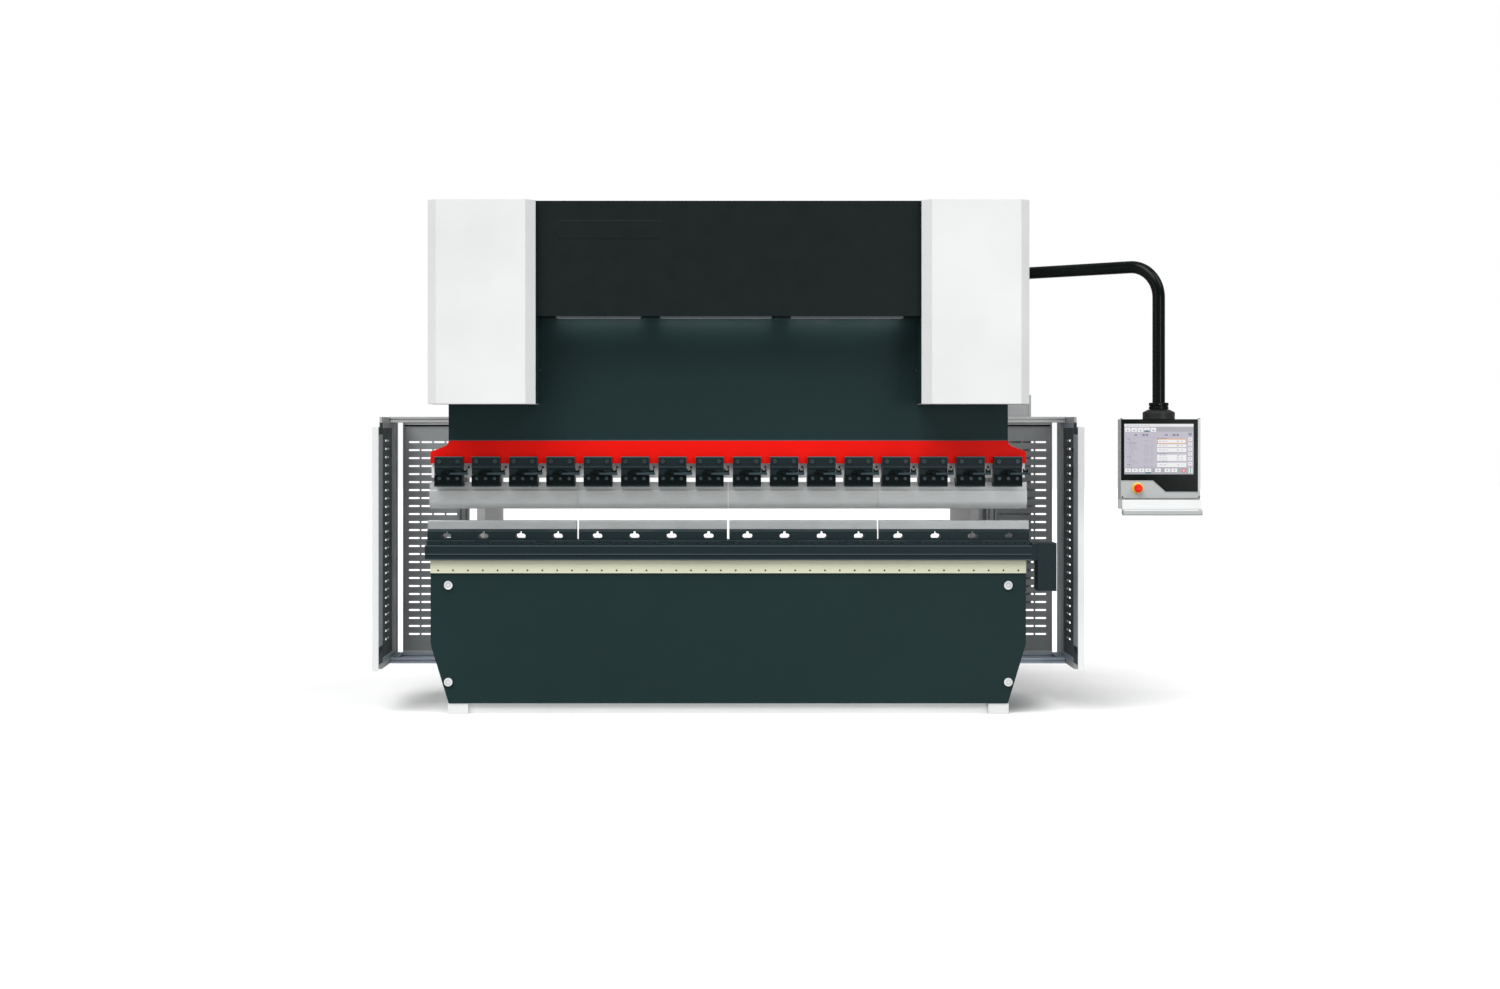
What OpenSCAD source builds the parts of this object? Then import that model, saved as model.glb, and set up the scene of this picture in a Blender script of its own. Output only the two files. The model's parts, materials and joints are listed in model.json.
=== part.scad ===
// Hydraulic CNC press brake with a 3.2 m bend line, side guard doors and a control pendant on a swing arm.
// X runs along the bend line, Y points away from the operator and Z is up.
// The origin lies on the floor, straight under the middle of the bend line.

/* [Tool line] */
// Number of upper tool clamps along the ram
clamp_count = 16; // [8:2:16]
// Distance between neighbouring clamps
clamp_pitch = 200; // [190:1:200]
// Width of one clamp
clamp_w = 151; // [130:1:155]
// Open height between the punch tip and the die with the ram parked
daylight = 63; // [50:1:75]
// Height of the punches
punch_h = 144; // [130:1:150]
// Height of the dies above their holders
die_h = 46; // [40:1:50]
// Opening of the V groove in the dies
die_v = 24; // [12:1:36]

/* [Lower beam] */
// Height of the feet under the beam
foot_h = 58; // [50:1:70]
// Height of the lower beam plate
beam_h = 774; // [760:1:790]
// Half length of the lower beam and the ram nose
beam_half = 1602; // [1600:1:1604]
// Thickness of the lower beam and of the ram plate
plate_t = 100; // [80:1:100]
// Height of the crowning table with its ledge
table_h = 104; // [100:1:110]
// Height of the die holders
holder_h = 59; // [56:1:64]

/* [Upper covers] */
// Top of the covers
cover_top_z = 2739; // [2720:1:2760]
// Underside of the two cylinder covers
cover_low_z = 1666; // [1640:1:1700]
// Front face of the cylinder covers
cover_front_y = -350; // [-380:1:-330]
// Chamfer along the upright front edges of the cylinder covers
cover_chamfer = 50; // [30:1:60]
// Underside of the centre cover
centre_low_z = 2131; // [2110:1:2160]
// Thickness of cover and cabinet sheet
sheet_t = 3; // [2:0.5:4]

/* [Side guards] */
// Inner face of the guard doors, from the machine centre
door_x = 1880; // [1875:1:1885]
// Thickness of the guard doors
door_t = 35; // [30:1:38]
// Size of the guard frame profile
profile_w = 32; // [28:1:32]
// Number of slot rows in the guard sheets
slot_rows = 25; // [10:1:25]

/* [Pendant] */
// Width of the control pendant
pendant_w = 406; // [380:1:420]
// Radius of the swing arm tube
arm_r = 32; // [28:1:34]
// Reach of the swing arm, pivot to pendant axis
arm_reach = 962; // [940:1:980]
// Direction of the parked arm, degrees below the X axis in plan
arm_heading = -41.3; // [-42:0.1:-40]

/* [Hidden] */
$fn = 48;

table_z = foot_h + beam_h;
holder_z = table_z + table_h;
die_z = holder_z + holder_h;
bend_z = die_z + die_h;
tip_z = bend_z + daylight;
punch_top_z = tip_z + punch_h;
strip_z = punch_top_z + 24;
nose_z = strip_z + 78;
ram_z = nose_z + 121;
half_t = plate_t / 2;

ram_half = 1505;
shoulder_z = 1850;
ram_neck_half = 1008;
ram_top_z = 2420;

frame_in = 1360;
frame_out = 1406;
frame_front_y = 150;
frame_rear_y = 1400;
frame_top_z = 2650;
throat_y = 410;
throat_low_z = 830;
throat_top_z = 1500;
throat_r = 60;

cyl_x = 1298;
cyl_r = 110;
cyl_low_z = 2070;
cyl_top_z = 2640;
rod_r = 55;
run_gap = 0.5;

cover_in_x = 1015;
cover_out_x = 1582;
cover_rear_y = -60;
centre_front_y = -265;

clamp_front_y = -100;
cam_z = strip_z + 23;
tang_t = 16;
web_y = 40;
seam_gap = 12;
seams = [-811, 0, 808];
tool_half = 1620;

guard_low_z = 230;
guard_top_z = 1602;
door_front_y = -60;
door_rear_y = 553;
hinge_x = 1921;
hinge_y = 562;
hinge_levels = [500, 1300];
panel_y = 586;
cabinet_low_z = 525;
cabinet_top_z = 1727;
cabinet_hinge_x = 1740;
cabinet_hinge_y = 1390;
cabinet_hinge_levels = [760, 1500];
slot_h = 12;
slot_pitch = 45.5;
slot_top_z = 1459;

arm_pivot = [1487, 97];
arm_z = 2375;
arm_bend_r = 165;
arm_low_z = 1670;
pendant_x = arm_pivot[0] + arm_reach * cos(arm_heading);
pendant_y = arm_pivot[1] + arm_reach * sin(arm_heading);
pendant_low_z = 1174;
pendant_top_z = 1585;
pendant_depth = 90;
estop_dx = -119;
estop_z = 1232;

gauge_y = 700;
rail_x = 1320;
rail_low_z = 700;
rail_top_z = 760;
gauge_rod_x = 700;
gauge_beam_z = 790;
finger_x = 500;

function clamp_x(i) = (i - (clamp_count + 1) / 2) * clamp_pitch;
function lever_name(i) = str("clamp_lever_", i < 10 ? "0" : "", i);

// A block given by its lowest and highest coordinate on each axis
module block(x0, x1, y0, y1, z0, z1) {
    translate([x0, y0, z0])
        cube([x1 - x0, y1 - y0, z1 - z0]);
}

// Round bars along each axis
module bar_x(r, x0, x1, y, z) {
    translate([x0, y, z])
        rotate([0, 90, 0])
            cylinder(r = r, h = x1 - x0);
}

module bar_y(r, y0, y1, x, z) {
    translate([x, y0, z])
        rotate([-90, 0, 0])
            cylinder(r = r, h = y1 - y0);
}

module bar_z(r, z0, z1, x, y) {
    translate([x, y, z0])
        cylinder(r = r, h = z1 - z0);
}

// A plate with an outline in X and Z, standing between two Y values
module plate_xz(points, y0, y1) {
    translate([0, y1, 0])
        rotate([90, 0, 0])
            linear_extrude(y1 - y0)
                polygon(points);
}

// A bar with a cross-section in Y and Z, running between two X values
module bar_yz(points, x0, x1) {
    translate([x0, 0, 0])
        rotate([90, 0, 90])
            linear_extrude(x1 - x0)
                polygon(points);
}

module both_sides() {
    children();
    mirror([1, 0, 0])
        children();
}

// ---------- Frame and lower beam ----------

// Two C-shaped side plates, open at the front around the throat
module side_frames() {
    color("lightgray")
        both_sides()
            difference() {
                bar_yz([[half_t, foot_h], [frame_rear_y, foot_h], [frame_rear_y, 2300], [1150, frame_top_z],
                        [frame_front_y, frame_top_z], [frame_front_y, throat_top_z], [half_t, throat_top_z]],
                       frame_in, frame_out);
                block(frame_in - 1, frame_out + 1, 0, throat_y - throat_r, throat_low_z, throat_top_z + 1);
                block(frame_in - 1, frame_out + 1, 0, throat_y,
                      throat_low_z + throat_r, throat_top_z - throat_r);
                for (z = [throat_low_z + throat_r, throat_top_z - throat_r])
                    bar_x(throat_r, frame_in - 1, frame_out + 1, throat_y - throat_r, z);
            }
}

// Cross beams that join the side plates: two under the oil tank, one low at the rear, one high at the rear
module tie_beams() {
    color("slategray") {
        for (y = [330, 900])
            block(-frame_in, frame_in, y, y + 100, 2150, 2250);
        block(-frame_in, frame_in, 1200, 1360, 180, 420);
        block(-frame_in, frame_in, 1300, 1360, 1700, 1900);
    }
}

// Lower beam plate: straight ends, then a taper down to the feet
module lower_beam() {
    strip_low = table_z - 73;
    taper_z = 385;
    color("darkslategray") {
        plate_xz([[-ram_half, foot_h], [ram_half, foot_h], [beam_half - 6, taper_z - 30],
                  [beam_half, taper_z], [beam_half, strip_low], [-beam_half, strip_low],
                  [-beam_half, taper_z], [-beam_half + 6, taper_z - 30]], -half_t, half_t);
        block(-beam_half, beam_half, -half_t + 15, half_t, strip_low, table_z);
    }
}

// Pale strip with a row of tapped holes for front support arms
module rail_strip() {
    hole_pitch = 80;
    z0 = table_z - 73;
    color("beige")
        difference() {
            block(-beam_half, beam_half, -half_t - 8, -half_t + 15, z0, table_z - 4);
            for (x = [-1560:hole_pitch:1560])
                bar_y(5, -half_t - 9, -half_t + 7, x, z0 + 15);
        }
}

// Crowning table with a stepped front and a ledge that carries nine adjusting pockets
module crowning_table() {
    half = 1628;
    front_y = -90;
    ledge_z = holder_z - 27;
    pocket_pitch = 331;
    color("darkslategray")
        difference() {
            union() {
                block(-half, half, front_y + 6, 90, table_z, table_z + 29);
                block(-half, half, front_y, 90, table_z + 29, ledge_z);
                block(-half + 8, half - 8, front_y + 12, 84, ledge_z, holder_z);
            }
            for (i = [-4:4])
                block(i * pocket_pitch - 40, i * pocket_pitch + 40, front_y, front_y + 22,
                      ledge_z, holder_z + 1);
            for (i = [-5:4], k = [-2:2])
                bar_y(4, front_y, front_y + 28, (i + 0.5) * pocket_pitch + k * 50, holder_z - 14);
        }
}

// Ends of the four tool segments, left to right
function segment_ends(i, gap) =
    [i == 0 ? -tool_half : seams[i - 1] + gap / 2, i == 3 ? tool_half : seams[i] - gap / 2];

// One keyhole opening: an oblong hole with a narrow slot above it
module keyhole(x, y0, y1) {
    z = holder_z + 22;
    for (side = [-1, 1])
        bar_y(13, y0, y1, x + side * 14, z);
    block(x - 14, x + 14, y0, y1, z - 13, z + 13);
    block(x - 7, x + 7, y0, y1, z, z + 25);
}

// Four die holders with four keyholes each
module die_holders() {
    depth = 45;
    color("dimgray")
        for (i = [0:3]) {
            ends = segment_ends(i, seam_gap);
            middle = (max(ends[0], -1624) + min(ends[1], 1624)) / 2;
            difference() {
                bar_yz([[-depth, holder_z], [depth, holder_z], [depth, die_z - 12], [depth - 12, die_z],
                        [8, die_z], [8, die_z - 14], [-8, die_z - 14], [-8, die_z],
                        [-depth + 12, die_z], [-depth, die_z - 12]], ends[0], ends[1]);
                for (k = [-1.5:1:1.5])
                    keyhole(middle + k * clamp_pitch, -depth - 1, depth + 1);
            }
        }
}

// Four dies with a V groove along the top and a tang in the holder groove, each in a front and a rear half
module dies() {
    half = 30;
    v = die_v / 2;
    seam = 0.05;
    color("silver")
        for (i = [0:3], side = [-1, 1]) {
            ends = segment_ends(i, seam_gap);
            bar_yz([for (p = [[seam, die_z - 13], [8, die_z - 13], [8, die_z], [half, die_z], [half, bend_z - 3],
                              [half - 3, bend_z], [v, bend_z], [1, bend_z - v + 1], [seam, bend_z - v + 1]])
                        [side * p[0], p[1]]],
                   ends[0], ends[1]);
        }
}

// Floor rails under the side plates, set back behind the front of the beam
module base_plinth() {
    color("lightgray") {
        block(-1400, 1400, -20, 80, 0, foot_h);
        block(-1400, 1400, 1290, 1390, 0, foot_h);
    }
}

// Four feet with anchor holes outside the side plates
module feet() {
    color("white")
        both_sides()
            for (y = [-45, 1180])
                difference() {
                    block(1400, 1510, y, y + 225, 0, foot_h);
                    bar_z(13, -1, foot_h + 1, 1458, y + 175);
                }
}

// Round caps over the lifting and fixing holes of the lower beam
module beam_caps() {
    color("lightgray")
        both_sides()
            for (z = [171, 696]) {
                bar_y(21, -half_t - 7, -half_t, 1508, z);
                bar_y(17, -half_t - 10, -half_t - 7, 1508, z);
            }
}

// Motor gearbox that drives the crowning wedges from the right end of the table
module crowning_drive() {
    color("dimgray") {
        block(1628, 1661, -84, 30, table_z - 2, holder_z - 15);
        difference() {
            block(1661, 1760, -90, 35, 665, 923);
            block(1664, 1757, -91, -88, 668, 920);
        }
    }
}

// ---------- Covers ----------

// Plan outline of a cylinder cover, shrunk inwards by t
function cover_outline(t) =
    let (k = t * tan(22.5), y_side = cover_front_y + cover_chamfer + k, y_rear = cover_rear_y + (t > 0 ? 1 : 0))
    [[cover_in_x + t, y_rear], [cover_in_x + t, y_side],
     [cover_in_x + cover_chamfer + k, cover_front_y + t],
     [cover_out_x - cover_chamfer - k, cover_front_y + t],
     [cover_out_x - t, y_side], [cover_out_x - t, y_rear]];

// Sheet cover over one cylinder, open at the rear, with the arm that holds it to the side plate
module cylinder_cover() {
    color("white")
        union() {
            difference() {
                translate([0, 0, cover_low_z])
                    linear_extrude(cover_top_z - cover_low_z)
                        polygon(cover_outline(0));
                translate([0, 0, cover_low_z + sheet_t])
                    linear_extrude(cover_top_z - cover_low_z - 2 * sheet_t)
                        polygon(cover_outline(sheet_t));
            }
            block(1363, 1403, cover_front_y + sheet_t, frame_front_y, cyl_top_z + 10, cover_top_z - 60);
        }
}

module right_cover() {
    cylinder_cover();
}

module left_cover() {
    mirror([1, 0, 0])
        cylinder_cover();
}

// Dark cover between the cylinder covers, open at the rear, with a blank badge plate
module centre_cover() {
    color("black") {
        difference() {
            block(-cover_in_x, cover_in_x, centre_front_y, cover_rear_y, centre_low_z, cover_top_z);
            block(-cover_in_x + sheet_t, cover_in_x - sheet_t, centre_front_y + sheet_t, cover_rear_y + 1,
                  centre_low_z + sheet_t, cover_top_z - sheet_t);
        }
        block(-895, -355, centre_front_y - 2, centre_front_y, 2540, 2635);
    }
}

// Three light bars that shine down on the ram and the tools
module work_lights() {
    color("white")
        for (x = [[-910, -462], [-362, 229], [329, 923]])
            block(x[0], x[1], centre_front_y + 8, centre_front_y + 60, centre_low_z - 12, centre_low_z);
}

// ---------- Hydraulics ----------

// Hydraulic cylinders, each with a mounting pad on the side plate and a gland at the lower end
module cylinders() {
    color("gray")
        both_sides()
            difference() {
                union() {
                    bar_z(cyl_r, cyl_low_z, cyl_top_z, cyl_x, 0);
                    block(cyl_x - cyl_r, frame_out + 8, 70, frame_front_y, cyl_low_z + 30, cyl_top_z - 40);
                    block(cyl_x - 60, cyl_x + 60, -170, -60, 2350, 2560);
                }
                bar_z(75, cyl_low_z + 40, cyl_top_z - 40, cyl_x, 0);
                bar_z(rod_r + run_gap, cyl_low_z - 1, cyl_low_z + 41, cyl_x, 0);
            }
}

// Rods and pistons that push the ram
module piston_rods() {
    piston_z = 2250;
    color("silver")
        both_sides() {
            bar_z(rod_r, shoulder_z, piston_z, cyl_x, 0);
            bar_z(75 - run_gap, piston_z, piston_z + 60, cyl_x, 0);
        }
}

module oil_tank() {
    color("darkslategray") {
        block(-550, 500, 320, 920, 2250, 2590);
        block(-560, 510, 310, 930, 2590, 2600);
        bar_z(40, 2600, 2650, -400, 620);
    }
}

// Electric motor on a base plate, with the oil pump between it and the tank
module pump_motor() {
    motor_y = 620;
    motor_z = 2400;
    color("gray")
        difference() {
            union() {
                block(640, 990, 400, 930, 2250, 2266);
                block(680, 940, motor_y - 90, motor_y + 90, 2266, 2300);
                bar_x(115, 640, 980, motor_y, motor_z);
                bar_x(60, 500, 640, motor_y, motor_z);
                difference() {
                    bar_x(118, 980, 1062, motor_y, motor_z);
                    bar_x(114, 979, 1059, motor_y, motor_z);
                }
            }
            bar_x(10.4, 950, 981, motor_y, motor_z);
            for (a = [0:30:330], r = [45, 80])
                bar_x(9, 1050, 1070, motor_y + r * cos(a), motor_z + r * sin(a));
        }
}

// Cooling fan under the cowl of the motor
module motor_fan() {
    color("dimgray")
        translate([0, 620, 2400])
            rotate([0, 90, 0]) {
                translate([0, 0, 952])
                    cylinder(r = 10, h = 93);
                translate([0, 0, 1005])
                    cylinder(r = 26, h = 35);
                for (a = [0:60:300])
                    rotate([0, 0, a])
                        translate([20, -2, 1008])
                            cube([85, 4, 30]);
            }
}

// ---------- Electrical cabinet ----------

// Sheet cabinet with a mounting plate, four rows of devices and the fixed halves of the door hinges
module electrical_cabinet() {
    y0 = 610;
    color("lightgray") {
        difference() {
            block(frame_out, 1714, y0, frame_rear_y, cabinet_low_z, cabinet_top_z);
            block(frame_out + sheet_t, 1715, y0 + sheet_t, frame_rear_y - sheet_t,
                  cabinet_low_z + sheet_t, cabinet_top_z - sheet_t);
        }
        block(1690, 1714, 1376, frame_rear_y - sheet_t, cabinet_low_z + sheet_t, cabinet_top_z - sheet_t);
        block(frame_out + sheet_t, frame_out + 15, y0 + 60, frame_rear_y - 60, 600, 1660);
        for (z = [720, 960, 1200, 1440])
            block(frame_out + 15, frame_out + 110, y0 + 100, frame_rear_y - 100, z, z + 110);
        for (z = cabinet_hinge_levels) {
            block(1708, cabinet_hinge_x, cabinet_hinge_y, frame_rear_y, z - 50, z);
            bar_z(7, z - 50, z, cabinet_hinge_x, cabinet_hinge_y);
            bar_z(4, z, z + 50, cabinet_hinge_x, cabinet_hinge_y);
        }
    }
}

module cabinet_door() {
    color("gainsboro") {
        block(1716, 1732, 610, 1382, cabinet_low_z, cabinet_top_z);
        block(1732, 1752, 650, 680, 1080, 1220);
        for (z = cabinet_hinge_levels)
            difference() {
                union() {
                    bar_z(7, z + run_gap, z + 50, cabinet_hinge_x, cabinet_hinge_y);
                    block(1731, 1742, 1374, 1386, z + run_gap, z + 50);
                }
                bar_z(4.3, z, z + 51, cabinet_hinge_x, cabinet_hinge_y);
            }
    }
}

// ---------- Side guards ----------

// Profile frames that stand beside the side plates and carry the guard doors
module guard_frames() {
    w = profile_w;
    x_end = door_x - 2;
    color("lightsteelblue")
        both_sides() {
            for (z = [guard_low_z, guard_top_z - w]) {
                for (y = [320, panel_y - w / 2])
                    block(frame_out, x_end, y, y + w, z, z + w);
                block(1470, 1470 + w, 320 + w, panel_y - w / 2, z, z + w);
                block(x_end - w, x_end, 320 + w, panel_y - w / 2, z, z + w);
            }
            block(1470, 1530, panel_y - w / 2, panel_y + w / 2, guard_low_z + w, guard_top_z - w);
            block(x_end, door_x + door_t, hinge_y + 10, panel_y + w / 2, guard_low_z, guard_top_z);
            for (z = hinge_levels) {
                bar_z(5, z, z + 60, hinge_x, hinge_y);
                bar_z(9, z - 30, z, hinge_x, hinge_y);
                block(hinge_x - 16, hinge_x, hinge_y, hinge_y + 12, z - 30, z);
            }
        }
}

// A sheet with rows of slots, drawn in its own plane with its lower left corner at the origin
module slotted_sheet(w, h, columns, slot_w, first_z) {
    difference() {
        square([w, h]);
        for (x = columns, k = [0:slot_rows - 1])
            translate([x, first_z - k * slot_pitch])
                square([slot_w, slot_h]);
    }
}

// Slotted rear panels between the inner post and the door side
module guard_panels() {
    z0 = guard_low_z + profile_w;
    color("gray")
        both_sides()
            translate([1530, panel_y + 1.5, z0])
                rotate([90, 0, 0])
                    linear_extrude(3)
                        slotted_sheet(316, guard_top_z - profile_w - z0, [8, 79, 150, 221], 64,
                                      slot_top_z - slot_h / 2 - z0);
}

// Guard door: two rails and a rear stile around a slotted sheet, with a grip profile and a closed box in front
module guard_door() {
    x1 = door_x + door_t;
    rail_x1 = x1 - 3;
    top_z = guard_top_z - 2;
    sheet_y = 78;
    stile_y = 395;
    grip_t = 12;
    z0 = guard_low_z + profile_w;
    z1 = top_z - profile_w;
    color("white") {
        for (z = [guard_low_z, z1])
            block(door_x, rail_x1, door_front_y + 5, door_rear_y, z, z + profile_w);
        block(door_x, rail_x1, stile_y, door_rear_y, z0, z1);
        translate([door_x + 6, sheet_y, z0])
            rotate([90, 0, 90])
                linear_extrude(3)
                    slotted_sheet(stile_y - sheet_y, z1 - z0, [94, 165], 64, 1464 - z0);
        block(door_x, door_x + grip_t, door_front_y, sheet_y, 358, 1503);
        for (z = [[318, 358], [1503, 1540]])
            block(door_x + 3, door_x + grip_t, door_front_y + 10, sheet_y, z[0], z[1]);
        block(door_x + grip_t, x1, door_front_y, 100, guard_low_z + 1, 1545);
        for (z = hinge_levels)
            difference() {
                union() {
                    bar_z(9, z + run_gap, z + 55, hinge_x, hinge_y);
                    block(hinge_x - 16, hinge_x, door_rear_y - 2, hinge_y - 6, z + run_gap, z + 55);
                }
                bar_z(5.3, z, z + 56, hinge_x, hinge_y);
            }
    }
}

module right_door() {
    guard_door();
}

module left_door() {
    mirror([1, 0, 0])
        guard_door();
}

// ---------- Ram ----------

// Rails on the front edges of the side plates that guide the ram
module ram_guides() {
    color("silver")
        both_sides()
            block(1353, 1413, 70, frame_front_y, 1520, 2060);
}

// Ram plate with shoulders under the cylinders and guide shoes at the rear
module ram_beam() {
    color("darkslategray") {
        plate_xz([[-ram_half, ram_z], [ram_half, ram_z], [ram_half, shoulder_z], [ram_neck_half, shoulder_z],
                  [ram_neck_half, ram_top_z], [-ram_neck_half, ram_top_z], [-ram_neck_half, shoulder_z],
                  [-ram_half, shoulder_z]], -half_t, half_t);
        both_sides()
            difference() {
                block(1335, 1431, half_t, 112, 1600, 1800);
                block(1353 - run_gap, 1413 + run_gap, 70 - run_gap, 113, 1599, 1801);
            }
    }
}

// Lower end of the ram: a wide painted nose over a bare steel strip
module ram_nose() {
    half = half_t + 5;
    color("red")
        plate_xz([[-beam_half, nose_z], [beam_half, nose_z], [beam_half, ram_z - 59],
                  [ram_half + 13, ram_z - 26], [ram_half + 4, ram_z - 18], [ram_half, ram_z - 6],
                  [ram_half, ram_z], [-ram_half, ram_z], [-ram_half, ram_z - 6],
                  [-ram_half - 4, ram_z - 18], [-ram_half - 13, ram_z - 26], [-beam_half, ram_z - 59]],
                 -half, half);
    color("silver")
        block(-beam_half + 2, beam_half - 2, -20, 20, strip_z, nose_z);
}

// One clamp body: bolted in front of the strip, with a rear jaw behind the punch tang
module clamp_block_body() {
    w = clamp_w / 2;
    tang = tang_t / 2;
    plate_top = strip_z + 18;
    difference() {
        bar_yz([[-95, strip_z + 57], [-88, strip_z + 57], [-88, plate_top], [-web_y, plate_top],
                [-web_y, punch_top_z], [tang, punch_top_z], [tang, punch_top_z - 23],
                [40, punch_top_z - 23], [40, strip_z], [-20, strip_z], [-20, nose_z],
                [-56, nose_z], [-56, strip_z + 114], [-95, strip_z + 114]], -w, w);
        // Arch that makes room for the cam
        block(-40, 40, -96, -50, plate_top - 1, strip_z + 31);
        // Two oblong slots
        for (x = [[-60, -14], [15, 63]])
            block(x[0], x[1], -89, -80, strip_z + 42, strip_z + 50);
        // Bearing bore of the cam shaft and screw holes
        bar_y(6.3, -51, -30, 0, cam_z);
        for (x = [-50, 50])
            bar_y(5.2, -96, -70, x, strip_z + 89);
    }
}

module clamp_blocks() {
    color("darkslategray")
        for (i = [1:clamp_count])
            translate([clamp_x(i), 0, 0])
                clamp_block_body();
}

// Front clamp plates that press on the punch tang
module clamp_plates() {
    w = clamp_w / 2;
    z0 = punch_top_z - 23;
    z1 = strip_z + 16;
    color("black")
        for (i = [1:clamp_count])
            translate([clamp_x(i), 0, 0])
                difference() {
                    bar_yz([[clamp_front_y, z0], [-tang_t / 2, z0], [-tang_t / 2, punch_top_z],
                            [-web_y, punch_top_z], [-web_y, z1], [clamp_front_y, z1]], -w, w);
                    bar_y(9, clamp_front_y - 1, -49, 0, cam_z);
                    for (x = [-48:48:48])
                        bar_y(5.2, clamp_front_y - 1, -70, x, strip_z - 3);
                }
}

// Cap screw with a hexagon socket, head towards the operator
module cap_screw(head_r, head_h) {
    difference() {
        union() {
            bar_y(head_r, -head_h, 0, 0, 0);
            bar_y(5, 0, 22, 0, 0);
        }
        translate([0, -head_h - 1, 0])
            rotate([-90, 0, 0])
                cylinder(r = head_r * 0.55, h = head_h - 1, $fn = 6);
    }
}

module clamp_screws() {
    color("gray")
        for (i = [1:clamp_count]) {
            for (x = [-50, 50])
                translate([clamp_x(i) + x, -95, strip_z + 89])
                    cap_screw(11, 8);
            for (x = [-48:48:48])
                translate([clamp_x(i) + x, clamp_front_y, strip_z - 3])
                    cap_screw(9, 5);
        }
}

// Quick release lever with its cam shaft
module clamp_lever(i) {
    color("dimgray")
        translate([clamp_x(i), 0, cam_z]) {
            bar_y(6, -118, -32, 0, 0);
            bar_y(9, -118, -107, 0, 0);
            block(0, 107, -118, -107, -6.5, 6.5);
            block(76, 104, -118, -107, 6.5, 26);
        }
}

// Four punches, each with a bevelled tip, a shoulder and a tang between the clamp jaws
module punches() {
    tang = tang_t / 2;
    shoulder = tip_z + 99;
    color("silver")
        for (i = [0:3]) {
            ends = segment_ends(i, 1);
            bar_yz([[-1, tip_z], [1, tip_z], [14, tip_z + 18], [14, shoulder - 6], [tang, shoulder],
                    [tang, punch_top_z], [-tang, punch_top_z], [-tang, shoulder], [-24, shoulder],
                    [-24, tip_z + 40], [-16, tip_z + 18]],
                   max(ends[0], -1612), min(ends[1], 1612));
        }
}

// ---------- Control pendant ----------

// Bracket on the right side plate with two eyes for the arm pivot
module arm_bracket() {
    color("dimgray")
        difference() {
            union() {
                block(frame_out, 1426, 155, 320, 2260, 2490);
                for (z = [2280, 2430]) {
                    bar_z(44, z, z + 40, arm_pivot[0], arm_pivot[1]);
                    block(1420, 1500, 110, 200, z, z + 40);
                }
            }
            for (z = [2280, 2430])
                bar_z(15.3, z - 1, z + 41, arm_pivot[0], arm_pivot[1]);
        }
}

// Bent tube arm, its pivot sleeve and pin, and the collar above the pendant
module swing_arm() {
    straight = arm_reach - arm_bend_r;
    color("black")
        translate([arm_pivot[0], arm_pivot[1], 0])
            rotate([0, 0, arm_heading]) {
                bar_z(42, 2321, 2429, 0, 0);
                bar_z(15, 2276, 2474, 0, 0);
                bar_x(arm_r, 0, straight, 0, arm_z);
                translate([straight, 0, arm_z - arm_bend_r])
                    rotate([90, 0, 0])
                        rotate_extrude(angle = 90)
                            translate([arm_bend_r, 0])
                                circle(r = arm_r);
                bar_z(arm_r, arm_low_z, arm_z - arm_bend_r, arm_reach, 0);
                bar_z(50, arm_low_z - 35, arm_low_z, arm_reach, 0);
                bar_z(20, arm_low_z - 75, arm_low_z - 35, arm_reach, 0);
            }
}

// Pendant housing with the swivel flange on top and the bore of the emergency stop
module pendant_case() {
    w = pendant_w / 2;
    d = pendant_depth / 2;
    color("silver")
        translate([pendant_x, pendant_y, 0])
            difference() {
                union() {
                    block(-w, w, -d, d, pendant_low_z, pendant_top_z);
                    bar_z(81.5, pendant_top_z, pendant_top_z + 37, 0, 0);
                    translate([0, 0, pendant_top_z + 37])
                        cylinder(r1 = 81.5, r2 = 54, h = 12.5);
                    bar_y(30, -d - 4, -d, estop_dx, estop_z);
                }
                bar_z(20.4, pendant_top_z + 5, pendant_top_z + 51, 0, 0);
                bar_y(8.4, -d - 5, -d + 40, estop_dx, estop_z);
            }
}

// Black glass front with a slanting lower edge
module screen() {
    w = pendant_w / 2;
    y = pendant_y - pendant_depth / 2;
    color("black")
        translate([pendant_x, 0, 0])
            plate_xz([[-w, 1272], [-40, 1272], [25, 1214], [w - 14, 1214], [w - 14, pendant_top_z],
                      [-w, pendant_top_z]], y - 6, y);
}

// Tray under the pendant with a front rail
module pendant_tray() {
    w = pendant_w / 2;
    color("white")
        translate([pendant_x, pendant_y, 0]) {
            difference() {
                block(-w, w, -80, 40, 1125, pendant_low_z);
                block(-w + 4, w - 4, -76, 36, 1129, pendant_low_z + 1);
            }
            block(-w, w, -98, -80, 1094, 1120);
            for (x = [-w, w - 12])
                block(x, x + 12, -80, -60, 1098, 1125);
        }
}

module estop_button() {
    color("red")
        translate([pendant_x + estop_dx, pendant_y - pendant_depth / 2, estop_z]) {
            bar_y(8, -20, 26, 0, 0);
            bar_y(22, -34, -16, 0, 0);
        }
}

// ---------- Back gauge ----------

// Rails along the inner faces of the side plates
module gauge_rails() {
    color("silver")
        both_sides()
            block(rail_x, frame_in, 60, 1100, rail_low_z, rail_top_z);
}

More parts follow.
